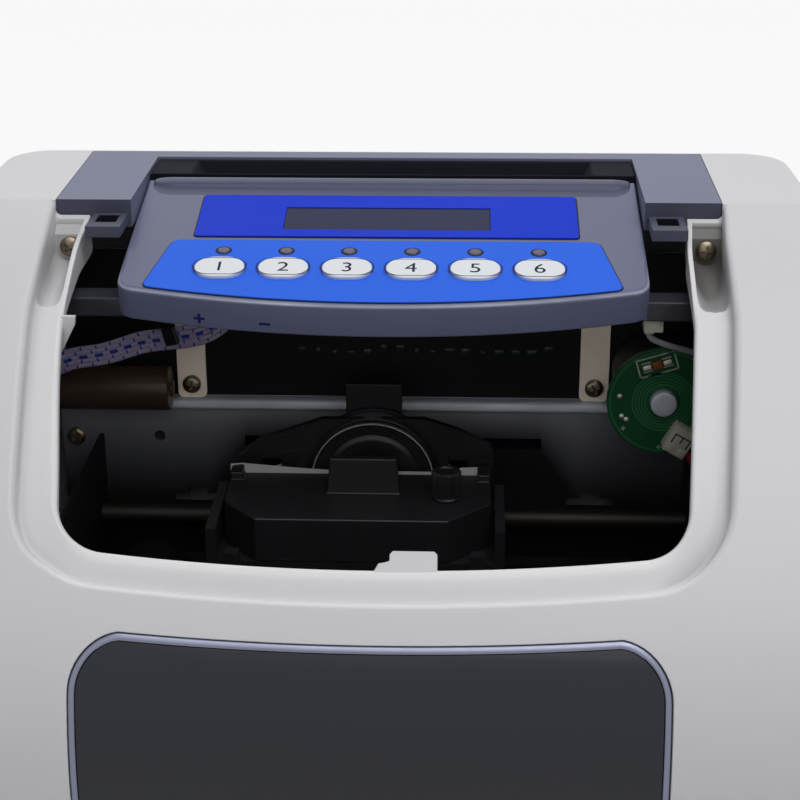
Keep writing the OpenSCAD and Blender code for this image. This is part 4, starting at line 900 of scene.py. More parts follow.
# Painted shade by depth in the screw pockets: darker towards their floor and on the ramp behind, lighter in the left
# pocket, fading towards their front end
def addGrime(mesh):
    for vert, mark in zip(mesh.vertices, mesh.attributes["paintedLight"].data):
        x, y, z = vert.co / mm
        if abs(abs(x) - trough["x"]) < trough["radius"] + 0.03 and -8 < y < trough["rimY"]:
            low = hoodHeight(y, opening["drop"] + 0.5) - z
            paintedLightAmount = clamped(low / trough["dark"])
            if y > trough["wallY"] - 0.2 and low > 0.2:
                paintedLightAmount = max(paintedLightAmount, trough["rampDark"])
            paintedLightAmount *= (trough["leftDark"] if x < 0 else 1) * eased((y + 6.5) / 7)
            mark.value = mark.value * (1 - paintedLightAmount) + paintedLightAmount
    return mesh


# The opening sits a little to the left of the middle: moves in mm, each from a place on over a span
nudge = {
    "up": (136, 14), "ahead": (29, 16),
    "right": ((1, 70, 12), (-0.3, 84, 8), (-0.7, 92.6, 20)), "left": ((1.2, 79, 3.5), (-1.2, 83.5, 9)),
}


def nudged(mesh):
    (low, rise), (back, fade) = nudge["up"], nudge["ahead"]
    for vert in mesh.vertices:
        x, y, z = vert.co / mm
        share = eased((z - low) / rise) * eased((back - y) / fade)
        moves = nudge["right" if x > 0 else "left"]
        aside = sum(much * eased((abs(x) - first) / span) for much, first, span in moves)
        vert.co.x = (x - share * aside) * mm
    return mesh


def meshOf(form, name, smooth):
    for face in form.faces:
        face.smooth = True
    for edge in form.edges:
        edge.smooth = len(edge.link_faces) == 2 and edge.calc_face_angle(0) < math.radians(smooth)
    mesh = bpy.data.meshes.new(name)
    form.to_mesh(mesh)
    form.free()
    return mesh


def finishForm(form, name, smooth=50):
    bmesh.ops.remove_doubles(form, verts=form.verts, dist=1e-6)
    bmesh.ops.recalc_face_normals(form, faces=form.faces)
    return meshOf(form, name, smooth)


def addForm(name, form, finish, body="case", smooth=50, stands=()):
    return addPiece(name, finishForm(form, name, smooth), finish, body, stands)


def evenNormals(piece):
    piece.modifiers.new("evened", "WEIGHTED_NORMAL").keep_sharp = True


shellForm = makeFrontShell()
makeSillTab(shellForm)
makeWeb(shellForm, web)
# The screw pockets get their painted shade here
shellMesh = nudged(addGrime(finishForm(shellForm, "frontShell")))
frontShell = addPiece("frontShell", shellMesh, "white_abs", "case", stands=["front_shell"])
evenNormals(frontShell)

# Half-round bead round the window
bead = [(1.8, 2.2), (1.8, 0.8), (1.66, 0.36), (1.3, 0.1), (0.9, 0.02), (0.5, 0.1), (0.14, 0.36), (0, 0.8), (0, 2.2)]
trimForm = bmesh.new()
strips(trimForm, [[onFront(x, z, t) for x, z in windowLoop(g)] for g, t in bead], True)
addForm("windowTrim", trimForm, "trim_chrome", stands=["display_trim"])
print("front shell drawn")


# Console: its slope, the front edge's place and bow, and the row of keys with their lights
console = {"tilt": 11.3, "front": -12.5, "top": 193.6, "bow": 267, "armFrom": 71.3, "highlightBelow": 0.55}
keyRow = {"middle": -1, "pitch": 17.2, "y": 18.8, "top": 1.225, "ring": (-0.75, -1.05), "digit": 5.0, "lightY": 28.9,
          "lightRadius": 1.8}
consoleTilt = math.radians(console["tilt"])


# Console plastic: cross arms in a darker grey, partly darker plastic and partly painted shade where the shell shades
# them, and a painted highlight line along the rounded top edge
def consoleFinish():
    made = plasticFinish("console_grey", paint(104, 108, 137), 0.42, 0.08, 2600, 0.04, 0.05, 0.2, 0.12)
    start, shader, tone, place, split = reopened(made)
    aside = split.maths("ABSOLUTE", split)
    along = split.output("Y") - console["front"] * mm
    above = (split.output("Z") - console["top"] * mm) * math.cos(consoleTilt) - along * math.sin(consoleTilt)
    off = above + console["highlightBelow"] * mm
    off = off.maths("ABSOLUTE", off)
    # Painted highlight: a pale band along the rounded top edge
    band = off.maths("SUBTRACT", 1.0, off * 2200, True)
    edgeHighlight = band * (noise(start, place, 60, 3) * 1.1)
    tone = mixed(start, edgeHighlight, tone, paint(214, 218, 236))
    # Cross arms darkened, partly darker plastic and partly painted shade
    darkAndShadedArms = aside > console["armFrom"] * mm
    feed(start, shader, "Base Color", mixed(start, darkAndShadedArms, tone, paint(52, 53, 60)))
    return made


# Cover plastic, darker in front of the crease, on its front edge and loops
def coverFinish():
    made = plasticFinish("cover_grey", paint(118, 122, 148), 0.42, 0.08, 2600, 0.05, 0.06, specular=0.15)
    start, shader, tone, _, split = reopened(made)
    ahead = split.output("Y") < (shell["creaseY"] + 0.15) * mm
    feed(start, shader, "Base Color", mixed(start, ahead, tone, paint(80, 83, 100)))
    return made


finishes["cover_grey"] = coverFinish()
finishes["console_grey"] = consoleFinish()


# A place on the console's slope
def onConsole(x, y, z):
    return Vector((x, console["front"] + y * math.cos(consoleTilt) - z * math.sin(consoleTilt),
                   console["top"] + y * math.sin(consoleTilt) + z * math.cos(consoleTilt)))


# The way back: across, up the slope and square to it
def fromConsole(p):
    y, z = p.y - console["front"], p.z - console["top"]
    return Vector((p.x, y * math.cos(consoleTilt) + z * math.sin(consoleTilt),
                   z * math.cos(consoleTilt) - y * math.sin(consoleTilt)))


def bowAt(x):
    return console["bow"] - math.sqrt(console["bow"] ** 2 - x ** 2)


def keyX(number):
    return keyRow["middle"] + (number - 3.5) * keyRow["pitch"]


# Top outline of the console without its rear edge
def consoleRim(a, b):
    for p in (fromConsole(a), fromConsole(b)):
        beside = abs(p.x) > 70.5 and p.y < 72.6
        if abs(p.z) > 0.03 or not (beside or p.y < 16 and (abs(p.x) > 62 or p.y - bowAt(p.x) < 0.3)):
            return False
    return True


# Upright edges of the key panel's rear corners
def panelCorner(a, b):
    p, q = fromConsole(a), fromConsole(b)
    return min(p.y, q.y) > 35 and abs(p.x) > 58 and abs(p.z - q.z) > 0.3


firstRounds = {"console_housing": (1.45, 5, consoleRim), "key_panel": (2.2, 5, panelCorner)}


def roundEdges(form, rims, width, segments):
    bmesh.ops.bevel(form, geom=rims, offset=width * mm, offset_type="OFFSET", segments=segments, profile=0.5,
                    affect="EDGES", clamp_overlap=False, loop_slide=True)


# A CAD solid with its edges rounded
def softened(node, finish, width, segments=3, sharp=32, smooth=42, chosen=None):
    source = frame["nodes"][node]
    form = bmesh.new()
    form.from_mesh(source.data)
    bmesh.ops.remove_doubles(form, verts=form.verts, dist=2e-5 if node in firstRounds else 1e-6)
    bmesh.ops.dissolve_limit(form, angle_limit=math.radians(0.5), verts=form.verts, edges=form.edges)

    def sharpEdges():
        return [e for e in form.edges if len(e.link_faces) == 2 and e.calc_face_angle(0) > math.radians(sharp)]
    if node in firstRounds:
        broad, count, test = firstRounds[node]
        roundEdges(form, [e for e in sharpEdges() if test(*(v.co / mm for v in e.verts))], broad, count)
    if width:
        rims = [e for e in sharpEdges() if chosen is None or all(chosen(v.co / mm) for v in e.verts)]
        roundEdges(form, rims, width, segments)
    mesh = meshOf(form, "soft_" + node, smooth)
    evenNormals(addPiece("soft_" + node, mesh, finish, source["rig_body"], stands=[node]))


# Upper edges of the rear shell, at its sides and its back
def rearRim(p):
    return p.z > shell["top"] - 0.1 and (abs(p.x) > 103.9 or p.y > 87.4)


# Solids shown as built, with their finish and the rounding of their edges
softNodes = {
    "base_plate": ("plate_steel", 0),
    "rubber_feet": ("rubber", 0.6),
    "top_cover": ("cover_grey", 0.2),
    "card_throat": ("throat_dark", 0.4),
    "display_lens": ("smoked_lens", 0),
    "display_board": ("board_green", 0),
    "console_housing": ("console_grey", 0.5),
    "display_panel": ("panel_dark_blue", 0.08),
    "key_panel": ("panel_blue", 0.08),
    "lcd_window": ("lcd", 0.1),
    "key_board": ("board_green", 0),
    "status_lights": ("light_lens", 0.5),
    "setup_board": ("board_green", 0),
    "chassis_plate": ("chassis_steel_painted_shade", 0),
    "strap_brackets": ("strap_steel", 0.25),
    "side_frames": ("plate_black", 0.2),
    "guide_shafts": ("shaft_steel", 0.5),
    "carriage": ("black_abs", 0),
    "shaft_bushes": ("brass", 0.2),
    "head_flex": ("black_abs", 0.3),
    "ribbon_cartridge": ("black_abs", 0.5),
    "carriage_motor": ("plate_black", 0.4),
    "drive_pulley": ("brass", 0.2),
    "idler_pulley": ("brass", 0.2),
    "drive_belt": ("rubber", 0),
    "feed_motor": ("plate_black", 0.4),
    "motor_board": ("motor_green", 0.15),
    "worm": ("brass", 0.3),
    "feed_shaft": ("shaft_steel", 0),
    "feed_brackets": ("plate_steel", 0.2),
    "backup_battery": ("sleeve_brown", 0.6),
    "cable_clip": ("black_abs", 0.3),
    "main_board": ("board_green", 0.2),
    "power_inlet": ("black_abs", 0.3),
}
softened("rear_shell", "white_abs", 2.6, 5, chosen=rearRim)
for nodeName, (finishName, edgeWidth) in softNodes.items():
    softened(nodeName, finishName, edgeWidth)
for number in range(1, 7):
    softened(f"clock_key_{number}", "key_white", 0.4)
for number in range(1, 9):
    softened(f"setup_key_{number}", "black_abs", 0.2)
print("solids softened")


# A turned form round an axis along Y
def turned(form, profile, x, z, steps=72, capped=True):
    rings = [[Vector((u, y, w)) for u, w in circle(x, z, radius, steps)] for radius, y in profile]
    grid = strips(form, rings, True)
    for ring in (grid[0], grid[-1]) if capped else ():
        form.faces.new(ring)


# Print head: bright front lip, dished dark face and a ridged drum behind
head = {"x": -4.7, "z": 124, "y": 32.5, "lip": (17.75, 18.15), "drum": 17.6, "ridge": 0.55, "flange": 19}


def makeHead(spec):
    x, z, y = spec["x"], spec["z"], spec["y"]
    inner, outer = spec["lip"]
    lip = bmesh.new()
    profile = [(inner, y + 0.6), (inner, y - 0.7), (inner + 0.1, y - 0.9), (outer - 0.15, y - 1), (outer, y - 0.8),
               (outer, y + 0.6)]
    turned(lip, profile, x, z, 96, False)
    addForm("headLip", lip, "bright_steel", "carriage", stands=["head_ring"])
    face = bmesh.new()
    dish = [(18.6, y + 1.2), (18.6, y + 0.1), (18.2, y - 0.3), (inner, y - 0.3), (inner - 0.3, y + 0.5)]
    for k in range(4):
        radius = inner - 0.9 - k * 0.8
        dish += [(radius + 0.3, y + 0.55), (radius + 0.2, y + 0.2), (radius - 0.1, y + 0.2), (radius - 0.2, y + 0.55)]
    dish += [(13.2, y - 0.3), (12.6, y - 0.4), (9, y - 0.2), (8.6, y + 0.3), (4, y + 0.3), (3.6, y - 0.1),
             (0.4, y - 0.1)]
    turned(face, dish, x, z, 96)
    addForm("headFace", face, "black_abs", "carriage", smooth=35)
    drum = bmesh.new()
    wide, flange = spec["drum"], spec["flange"]
    crest = wide + spec["ridge"]
    side = [(16, y + 1.2), (wide, y + 1.3)]
    for k in range(5):
        back = y + 1.8 + k * 1.5
        side += [(wide, back), (crest, back + 0.3), (crest, back + 0.7), (wide, back + 1)]
    side += [(wide, y + 9.1), (flange - 0.3, y + 9.1), (flange, y + 9.4), (flange, y + 10.2), (flange - 0.3, y + 10.5),
             (16, y + 10.6), (6, y + 22.9), (0.5, y + 22.9)]
    turned(drum, side, x, z, 96)
    nose = [(-4, -2), (4, -2), (4, 2), (-4, 2)]
    ends = [[Vector((x + u, y + d, z + w)) for u, w in nose] for d in (20, 26.8)]
    grid = strips(drum, ends, True)
    drum.faces.new(grid[-1])
    addForm("headDrum", drum, "dark_abs", "carriage", smooth=35, stands=["print_head"])


makeHead(head)

# Take-up knob: toothed side, chamfered top with a shallow dish, flange at the foot
knob = {"x": 17.3, "y": 13.1, "foot": 127.45, "high": 8.5, "radius": 4.25, "teeth": 26, "depth": 0.42,
        "stem": 1.5, "stemFoot": 117.4}


def makeKnob(spec):
    form = bmesh.new()
    foot, top, wide = spec["foot"], spec["foot"] + spec["high"], spec["radius"]
    profile = [(0.3, foot, 0), (4.1, foot, 0), (4.25, foot + 0.2, 0), (4.25, foot + 0.6, 0), (3.95, foot + 0.9, 0),
               (wide, foot + 1.1, 1), (wide, top - 0.5, 1), (wide - 0.5, top, 0.2), (2.7, top, 0),
               (2.4, top - 0.5, 0), (0.3, top - 0.5, 0)]
    rows = []
    for radius, z, cut in profile:  # cut: how deep the teeth reach there
        row = []
        for k in range(spec["teeth"] * 4):
            angle = 2 * math.pi * k / (spec["teeth"] * 4)
            reach = radius - (spec["depth"] * cut if k % 4 in (2, 3) else 0)
            row.append(Vector((spec["x"] + reach * math.cos(angle), spec["y"] + reach * math.sin(angle), z)))
        rows.append(row)
    grid = strips(form, rows, True)
    form.faces.new(grid[-1])
    form.faces.new(grid[0])
    stem = circle(spec["x"], spec["y"], spec["stem"], 24)
    strips(form, [[Vector((x, y, z)) for x, y in stem] for z in (spec["stemFoot"], foot + 0.1)], True)
    addForm("takeUpKnob", form, "black_abs", "knob", smooth=30, stands=["take_up_knob"])


makeKnob(knob)

# Pan-head screws with a cross recess, all driven from the front
screws = {"radius": 2.8, "high": 2.2, "arm": 1.7, "slot": 0.42, "deep": 1.1}
screwSeats = [(s * x, y, z, finish) for s in (-1, 1) for x, y, z, finish in (
    (88.05, 24, 198.2, "dark_steel"), (61.5, 59.6, 143.5, "dark_steel"), (98.6, 60.8, 30, "bright_steel"),
    (98.6, 60.8, 125.4, "dark_steel"))]


# Flat layout of a screw's top: points, triangles and the outline of the cross
def screwTop(spec):
    radius, arm, slot = spec["radius"], spec["arm"], spec["slot"]
    cross = [(slot, slot), (slot, arm), (-slot, arm), (-slot, slot), (-arm, slot), (-arm, -slot),
             (-slot, -slot), (-slot, -arm), (slot, -arm), (slot, -slot), (arm, -slot), (arm, slot)]
    flat = circle(0, 0, 0.999 * radius, 48) + cross
    for ring, count in ((0.82, 32), (0.66, 24)):
        flat += [p for p in circle(0, 0, ring * radius, count) if not insideLoop(*p, cross)]
    edges = [(k, (k + 1) % 48) for k in range(48)] + [(48 + k, 48 + (k + 1) % 12) for k in range(12)]
    points, _, faces, _, _, _ = delaunay_2d_cdt([Vector(p) for p in flat], edges, [], 0, 1e-6)
    return points, faces, cross


def makeScrews(spec):
    rows = {"dark_steel": bmesh.new(), "bright_steel": bmesh.new()}
    points, faces, cross = screwTop(spec)
    radius = spec["radius"]
    for number, (x, seat, z, finish) in enumerate(screwSeats):
        form = rows[finish]
        twist = math.radians(48 + 31 * number)

        def spot(p, sunk):
            reach = p.length / radius
            rise = spec["high"] * (0.55 + 0.45 * math.sqrt(max(0, 1 - reach ** 2.4)))
            across = math.cos(twist) * p.x - math.sin(twist) * p.y
            upward = math.sin(twist) * p.x + math.cos(twist) * p.y
            return Vector((x + across, seat - (rise - sunk), z + upward)) * mm
        raised = [form.verts.new(spot(p, 0)) for p in points]
        sunk = {}
        for face in faces:
            middle = sum((points[i] for i in face), Vector((0, 0))) / 3
            if insideLoop(middle.x, middle.y, cross):
                for i in face:
                    if i not in sunk:
                        sunk[i] = form.verts.new(spot(points[i] * 0.9, spec["deep"]))
                form.faces.new([sunk[i] for i in face])
            else:
                form.faces.new([raised[i] for i in face])
        for k in range(12):
            a, b = 48 + k, 48 + (k + 1) % 12
            form.faces.new((raised[a], raised[b], sunk[b], sunk[a]))
        sides = ((0.999 * radius, seat - spec["high"] * 0.55), (radius, seat - 0.4), (radius * 0.98, seat))
        strips(form, [[Vector((u, y, w)) for u, w in circle(x, z, r, 48, twist)] for r, y in sides], True)
    for finish, form in rows.items():
        addForm(finish + "_screws", form, finish, smooth=40, stands=["pan_screws"])


makeScrews(screws)

# Ink ribbon: a slack run behind the cartridge and one round the nose of the head
ribbon = {  # each run as x, y, lower edge and upper edge
    "thick": 0.25,
    "front": [(-46.4, 29.2, 119, 130.1), (-43, 30.3, 119, 129.9), (-38, 30.5, 118.8, 129.4), (-28, 30.4, 118.6, 128.6),
              (-18, 30.35, 118.6, 128), (-4, 30.35, 118.6, 127.75), (12, 30.35, 118.6, 127.75),
              (19.6, 30.35, 118.6, 128.2), (21.5, 30.35, 118.6, 129.2), (26.2, 30.35, 118.8, 129.4)],
    "back": [(-42.2, 31.05, 114.5, 124.5), (-9.3, 60, 119, 129), (-0.1, 60, 119, 129), (26.2, 31.05, 114.5, 124.5)],
}


def makeRibbon(spec):
    form = bmesh.new()
    for path in (spec["front"], spec["back"]):
        rows = []
        for x, y, low, high in path:
            near = y - spec["thick"]
            rows.append([Vector((x, *p)) for p in ((y, low), (y, high), (near, high), (near, low))])
        grid = strips(form, rows, True)
        form.faces.new(grid[0])
        form.faces.new(grid[-1][::-1])
    addForm("inkRibbon", form, "ribbon", "carriage", stands=["ink_ribbon"])


makeRibbon(ribbon)


# Console ridge behind the display: a hollow sweep up to a rounded crest, closed by rounded ends, in a darker copy of
# the console grey as painted shade
ridge = {
    "half": 69.5, "end": 6, "rear": 72.8,
    "line": [(62.7, -0.02), (64, 0.03), (65.2, 0.12), (66.2, 0.28), (66.9, 0.5), (67.4, 0.8), (67.8, 1.1),
             (68.3, 1.34), (69, 1.46), (70, 1.5), (71, 1.5), (71.8, 1.4), (72.4, 1.1), (72.75, 0.6), (72.8, -0.1),
             (72.8, -0.8)],
}


def makeRidge(spec):
    form = bmesh.new()
    rows = []
    for k in range(-60, 61):
        share = k / 60
        spread = math.sin(share * math.pi / 2) if abs(share) > 0.5 else share * math.sqrt(2)
        x = spec["half"] * spread
        past = max(0, abs(x) - spec["half"] + spec["end"]) / spec["end"]
        size = math.sqrt(max(0, 1 - past ** 2))
        rear, sunk = spec["rear"], -0.03 * (1 - size)
        rows.append([onConsole(x, rear - (rear - y) * (0.4 + 0.6 * size), z * size + sunk) for y, z in spec["line"]])
    strips(form, rows)
    addForm("consoleRidge", form, "ridge_grey_shaded", smooth=60)


makeRidge(ridge)


# Thin dark seams round both panels and the lights
keyPanel = {"rear": (56.79, 33, 2.2), "front": (61.4, 10.71, 2), "bowMiddle": 268.5, "lean": (24.1, 4.76)}
displayPanel = {"half": 52.3, "low": 38.5, "high": 61.6, "corner": 1}


def keyPanelLoop(grow):
    rearX, rearY, rearRadius = keyPanel["rear"]
    frontX, frontY, frontRadius = keyPanel["front"]
    middle = keyPanel["bowMiddle"]
    lean = math.atan2(keyPanel["lean"][1], keyPanel["lean"][0])
    bowTurn = math.atan2(frontY - middle, frontX)
    loop = arcLoop(rearX, rearY, rearRadius + grow, math.pi / 2, lean, 12)
    loop += arcLoop(frontX, frontY, frontRadius + grow, lean, bowTurn, 12)
    loop += arcLoop(0, middle, console["bow"] + grow, bowTurn, -math.pi / 2, 24)[1:]
    return loop + [(-x, y) for x, y in reversed(loop[:-1])]


def displayPanelLoop(grow):
    half, low, high = displayPanel["half"], displayPanel["low"], displayPanel["high"]
    loop = []
    for x, y, first in ((half, high, 0), (-half, high, 90), (-half, low, 180), (half, low, 270)):
        start = math.radians(first)
        loop += arcLoop(x, y, displayPanel["corner"] + grow, start, start + math.pi / 2, 8)
    return loop


def makeSeams():
    form = bmesh.new()
    seam = ((-0.05, 0.1), (0.12, 0.06), (0.42, 0.015))
    for loop in (keyPanelLoop, displayPanelLoop):
        strips(form, [[onConsole(u, v, z) for u, v in loop(g)] for g, z in seam], True)
    for number in range(1, 7):
        rings = []
        for wider, z in ((0, 0.42), (0.12, 0.5), (0.4, 0.47), (0.5, 0.4)):
            loop = circle(keyX(number), keyRow["lightY"], keyRow["lightRadius"] + wider, 32)
            rings.append([onConsole(u, v, z) for u, v in loop])
        strips(form, rings, True)
    addForm("panelSeams", form, "panel_edge", smooth=80)


makeSeams()


# Prints on the keys and the lip
def ovalLoop(grow, radius=5.4, middle=2.7, count=48):
    loop = []
    for k in range(count):
        angle = 2 * math.pi * (k + 0.5) / count
        side = middle if math.cos(angle) > 0 else -middle
        loop.append((side + (radius + grow) * math.cos(angle), (radius + grow) * math.sin(angle)))
    return loop


def digitForm(form, digit, high, place):
    curve = bpy.data.curves.new("digit", "FONT")
    curve.body, curve.size, curve.align_x = digit, high * 1.4, "CENTER"
    glyph = bpy.data.objects.new("digit", curve)
    bpy.context.scene.collection.objects.link(glyph)
    mesh = bpy.data.meshes.new_from_object(glyph.evaluated_get(bpy.context.evaluated_depsgraph_get()))
    verts = [form.verts.new(place(v.co.x, v.co.y - high / 2) * mm) for v in mesh.vertices]
    for face in mesh.polygons:
        form.faces.new([verts[i] for i in face.vertices])
    bpy.data.objects.remove(glyph)
    bpy.data.curves.remove(curve)
    bpy.data.meshes.remove(mesh)


def makeKeyPrints():
    for number in range(1, 7):
        form = bmesh.new()

        def place(u, v):
            return onConsole(keyX(number) + u, keyRow["y"] + v, keyRow["top"])
        strips(form, [[place(u, v) for u, v in ovalLoop(g)] for g in keyRow["ring"]], True)
        digitForm(form, str(number), keyRow["digit"], place)
        addForm(f"keyPrint{number}", form, "key_print", f"clock_key_{number}")


lipSigns = {"z": -6.8, "off": 0.02, "bars": [(-48.2, 3.0, 0.8), (-48.2, 0.8, 3.0), (-30.5, 3.0, 0.8)]}


def makeLipPrints(spec):
    form = bmesh.new()
    for x, wide, high in spec["bars"]:
        ring = []
        for u, v in ((-1, -1), (1, -1), (1, 1), (-1, 1)):
            across = x + u * wide / 2
            ring.append(form.verts.new(onConsole(across, bowAt(across) - spec["off"], spec["z"] + v * high / 2) * mm))
        form.faces.new(ring)
    addForm("lipPrints", form, "lip_print")


makeKeyPrints()
makeLipPrints(lipSigns)


def boxForm(form, low, high, turn=None, about=(0, 0, 0), edge=0.0):
    made = bmesh.ops.create_cube(form, size=1)["verts"]
    for vert in made:
        at = Vector(low[k] + (high[k] - low[k]) * (vert.co[k] + 0.5) for k in range(3))
        vert.co = ((turn @ (at - Vector(about)) + Vector(about)) if turn else at) * mm
    if edge:
        rims = {e for v in made for e in v.link_edges}
        bmesh.ops.bevel(form, geom=list(rims), offset=edge * mm, segments=2, affect="EDGES", profile=0.5)


# Motor board details: hub cap, round tracks, a framed row of small parts, solder and the lead plug
motor = {
    "x": 79.6, "z": 149.9, "face": 32.4, "frameAt": (-2.2, 11.4), "frameTurn": 17, "frame": (11.6, 5.8), "hub": 3.8,
    "tracks": (5.3, 6.2, 7.1, 8.0, 8.9, 15.3), "crosses": ((-11.2, -8.4), (-0.6, -14.2)),
    "solder": ((-11.8, -4.6), (-10.4, -5.6), (-12.6, 1.6), (10.2, 8), (12.4, 4)),
}
plug = {
    "at": (84.4, 139.3), "turn": 30, "half": (3.5, 4.2), "deep": 5.6,
    "slots": ((-2.6, 1.7, 2.6, 2.1), (-2.6, -1, -2.2, 2.1), (-0.2, -0.2, 0.2, 2.1), (2.2, -1, 2.6, 2.1)),
}


def aboutY(degrees):
    return Matrix.Rotation(math.radians(-degrees), 3, "Y")


def makeMotorDetails(spec):
    x, z, y = spec["x"], spec["z"], spec["face"]
    hub = bmesh.new()
    wide = spec["hub"]
    turned(hub, [(wide, y), (wide, y - 2.2), (wide - 0.15, y - 2.45), (wide - 0.4, y - 2.55), (2, y - 2.6),
                 (0.4, y - 2.6)], x, z, 64)
    addForm("motorHub", hub, "bend_steel", smooth=40)
    tracks = bmesh.new()
    for radius in spec["tracks"]:
        outer, inner = radius + 0.22, radius - 0.22
        turned(tracks, [(outer, y), (outer, y - 0.05), (inner, y - 0.05), (inner, y)], x, z, 72, False)
    addForm("motorTracks", tracks, "trace_green", smooth=80)
    silk, parts, pads = bmesh.new(), bmesh.new(), bmesh.new()
    u, w = x + spec["frameAt"][0], z + spec["frameAt"][1]
    wide, high = spec["frame"][0] / 2, spec["frame"][1] / 2
    lean, about = aboutY(spec["frameTurn"]), (u, y, w)
    for low, top in (((-wide, -high), (wide, 0.45 - high)), ((-wide, high - 0.45), (wide, high)),
                     ((-wide, -high), (0.45 - wide, high)), ((wide - 0.45, -high), (wide, high)),
                     ((-4.4, -1.5), (-1.6, -1.1)), ((-4.4, 1.1), (-1.6, 1.5)),
                     ((1.6, -1.5), (4.4, -1.1)), ((1.6, 1.1), (4.4, 1.5))):
        boxForm(silk, (u + low[0], y - 0.05, w + low[1]), (u + top[0], y, w + top[1]), lean, about)
    for right, up in spec["crosses"]:
        for across, upward in ((0.7, 0.18), (0.18, 0.7)):
            low = (x + right - across, y - 0.05, z + up - upward)
            boxForm(silk, low, (x + right + across, y, z + up + upward))
    boxForm(parts, (u - 1.4, y - 1, w - 1.1), (u + 1.4, y, w + 1.1), lean, about, 0.2)
    for side in (-1, 1):
        end = u + side * 3
        boxForm(pads, (end - 1.2, y - 0.6, w - 0.7), (end + 1.2, y, w + 0.7), lean, about, 0.2)
    for at in spec["solder"]:
        turned(pads, [(0.75, y), (0.7, y - 0.15), (0.3, y - 0.45)], x + at[0], z + at[1], 16)
    addForm("motorSilk", silk, "silk_white")
    addForm("motorParts", parts, "part_amber", smooth=30)
    addForm("motorPads", pads, "bright_steel", smooth=60)


def makePlug(spec, face):
    body, recess = bmesh.new(), bmesh.new()
    u, w = spec["at"]
    half, high = spec["half"]
    front = face - spec["deep"]
    lean, about = aboutY(-spec["turn"]), (u, face, w)
    boxForm(body, (u - half, front, w - high), (u + half, face, w + high), lean, about, 0.35)
    for side in (-1, 1):
        rib = u + side * 1.9
        boxForm(body, (rib - 1.1, front - 0.4, w - high + 0.5), (rib + 1.1, front + 0.2, w - 1.6), lean, about, 0.15)
    for left, low, right, top in spec["slots"]:
        boxForm(recess, (u + left, front - 0.03, w + low), (u + right, front + 0.3, w + top), lean, about)
    addForm("motorPlug", body, "connector_white", smooth=30, stands=["motor_plug"])
    addForm("motorPlugSlots", recess, "dark_abs")


makeMotorDetails(motor)
makePlug(plug, motor["face"])

# Signal plug under the right arm: body, latch rib and lead collar
signal = {
    "body": ((70.9, 11, 178.6), (76.2, 16, 182.8), 0.3),
    "rib": ((71.8, 10.5, 179.6), (75.3, 11.1, 182.2), 0.15),
    "collar": ((71.2, 12.2, 177.8), (74, 15.8, 178.8), 0.2),
}
signalForm = bmesh.new()
for boxLow, boxHigh, boxEdge in signal.values():
    boxForm(signalForm, boxLow, boxHigh, edge=boxEdge)
addForm("signalPlug", signalForm, "connector_white", smooth=30, stands=["signal_lead"])

# Chassis plate: dark sheets of painted shade above its bend, where the console shades it, and in the foot of the bay,
# where the sill shades it, and the rolled bend between them
shadeLiner = {"half": 100, "front": 60.7, "back": 60.79, "heights": ((139.4, 185.98), (16, 100.5))}
shadeLinerForm = bmesh.new()
for linerLow, linerHigh in shadeLiner["heights"]:
    boxForm(shadeLinerForm, (-shadeLiner["half"], shadeLiner["front"], linerLow), (shadeLiner["half"], shadeLiner["back"], linerHigh))
addForm("plateShadeLiner", shadeLinerForm, "plate_black")
bend = {"half": 100, "line": [(60.75, 139.2), (60, 139.1), (59.2, 138.8), (58.6, 138.45), (58.3, 138), (58.1, 137.4),
                              (57.95, 136.6), (57.9, 135.9), (58, 135.75), (60.75, 135.7)]}
roll = bmesh.new()
strips(roll, [[Vector((bend["half"] * (k / 10 - 1), y, z)) for k in range(21)] for y, z in bend["line"]])
addForm("plateBend", roll, "bend_steel")

# Dark strip with small green pads, on the upper dark sheet of painted shade
pads = {"from": -30, "to": 50, "z": 154.6, "count": 16, "half": 2.4, "strip": (60.62, 60.69), "spots": (60.4, 60.63)}
strip, spots = bmesh.new(), bmesh.new()
boxForm(strip, (pads["from"] - 1, pads["strip"][0], pads["z"] - pads["half"]),
        (pads["to"] + 1, pads["strip"][1], pads["z"] + pads["half"]))
chance = random.Random(7)
for number in range(pads["count"]):
    middle = pads["from"] + (pads["to"] - pads["from"]) * (number + 0.5) / pads["count"]
    wide, high = chance.uniform(0.5, 1.7), chance.uniform(0.4, 1.1)
    low = pads["z"] + chance.uniform(-1, 1)
    front, back = pads["spots"]
    boxForm(spots, (middle - wide, front, low - high), (middle + wide, back, low + high), edge=0.08)
addForm("padStrip", strip, "plate_black")
addForm("padSpots", spots, "board_green", smooth=30)

# Painted shade: dark lining on the inner walls of the cover's two eyes, where the holes fall into shade
eye = {"x": 77.4, "half": 2.87, "front": 21.13, "back": 28.47, "low": 202.85, "high": 205.75}
eyeShadeForm = bmesh.new()
for side in (-1, 1):
    corners = [(side * eye["x"] + u * eye["half"], y) for u, y in
               ((-1, eye["front"]), (1, eye["front"]), (1, eye["back"]), (-1, eye["back"]))]
    strips(eyeShadeForm, [[Vector((x, y, z)) for x, y in corners] for z in (eye["low"], eye["high"])], True)
addForm("eyeShadeLining", eyeShadeForm, "throat_dark")
print("details drawn")


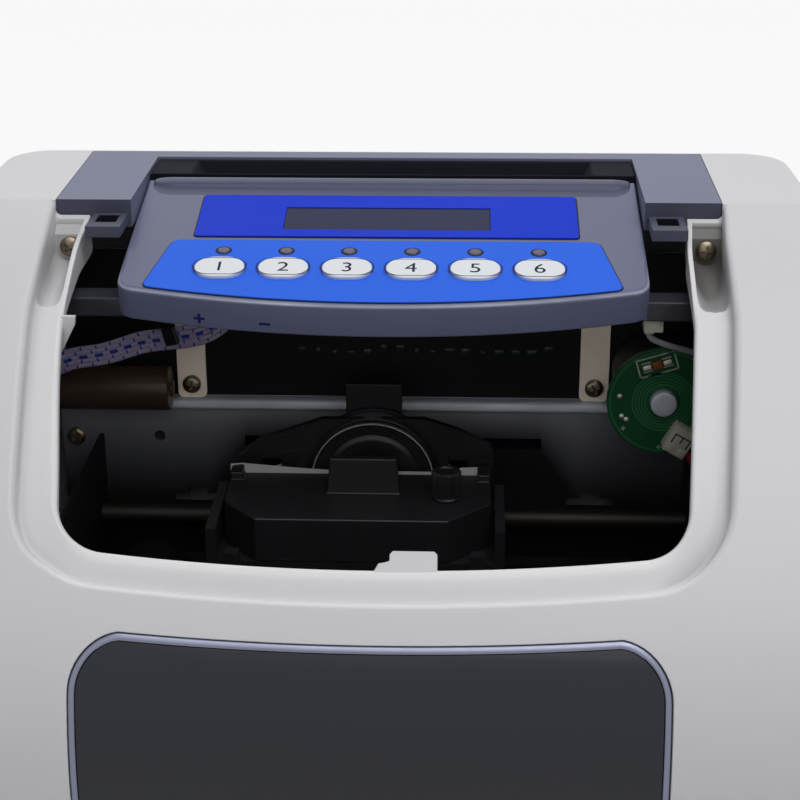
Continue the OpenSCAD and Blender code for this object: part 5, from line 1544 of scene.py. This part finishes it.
# Stage: pale floor, soft light and a white background
stage = {"floor": 3.0, "floorTone": 0.82, "floorGlow": 0.92, "ambient": 0.17}
lamps = {
    "overhead": {"at": (0.25, -0.3, 1.25), "aim": (0, 0, 0.15), "size": 1.0, "power": 7.1},
    "front": {"at": (0.1, -1.1, 1.0), "aim": (0, 0.04, 0.14), "size": 0.7, "power": 1.7},
    "glint": {"at": (0.35, -0.5, 1.2), "aim": (0, 0, 0.19), "size": 0.07, "power": 0.3},
    "back": {"at": (-0.2, 0.9, 1.0), "aim": (0, 0, 0.12), "size": 0.9, "power": 1.6},
}


# 1 for rays that see the background straight, in a mirror or through glass
def seenDirect(start):
    camera = start.node("ShaderNodeLightPath", out="Is Camera Ray")
    glossy, through = camera.output("Is Glossy Ray"), camera.output("Is Transmission Ray")
    return camera.maths("MAXIMUM", camera.maths("MAXIMUM", camera, glossy), through)


def makeStage(spec):
    world = bpy.data.worlds.new("studio")
    bpy.context.scene.world = world
    world.use_nodes = True
    start = Wire(world.node_tree)
    background = world.node_tree.nodes["Background"]
    background.inputs["Color"].default_value = (1, 1, 1, 1)
    strength = seenDirect(start) * (1 - spec["ambient"]) + spec["ambient"]
    start.tree.links.new(strength.socket, background.inputs["Strength"])

    mesh = bpy.data.meshes.new("floor")
    half = spec["floor"]
    corners = [(-half, -half, 0), (half, -half, 0), (half, half, 0), (-half, half, 0)]
    mesh.from_pydata(corners, [], [(0, 1, 2, 3)])
    floor = bpy.data.objects.new("floor", mesh)
    bpy.context.scene.collection.objects.link(floor)
    made, start, place, shader = startFinish("floorPaper")
    tone = spec["floorTone"]
    grain = noise(start, place, 40, 4)
    feed(start, shader, "Base Color", mixed(start, grain, (tone * 0.98,) * 3 + (1,), (tone, tone, tone, 1)))
    feed(start, shader, "Roughness", 0.9)
    white = start.node("ShaderNodeEmission", {}, {"Color": (1, 1, 1, 1), "Strength": 1.0})
    lit = Wire(start.tree, shader.outputs["BSDF"])
    blend = start.node("ShaderNodeMixShader", {}, {0: seenDirect(start) * spec["floorGlow"], 1: lit, 2: white})
    start.tree.links.new(blend.socket, start.tree.nodes["Material Output"].inputs["Surface"])
    mesh.materials.append(made)


def makeLamps(specs):
    for name, spec in specs.items():
        light = bpy.data.lights.new(name, "AREA")
        light.size = spec["size"]
        light.energy = spec["power"]
        lamp = bpy.data.objects.new(name, light)
        bpy.context.scene.collection.objects.link(lamp)
        lamp.location = spec["at"]
        lamp.rotation_euler = (Vector(spec["aim"]) - Vector(spec["at"])).to_track_quat("-Z", "Y").to_euler()


makeStage(stage)
makeLamps(lamps)
bpy.context.scene.view_settings.view_transform = "Standard"
print("stage lit")
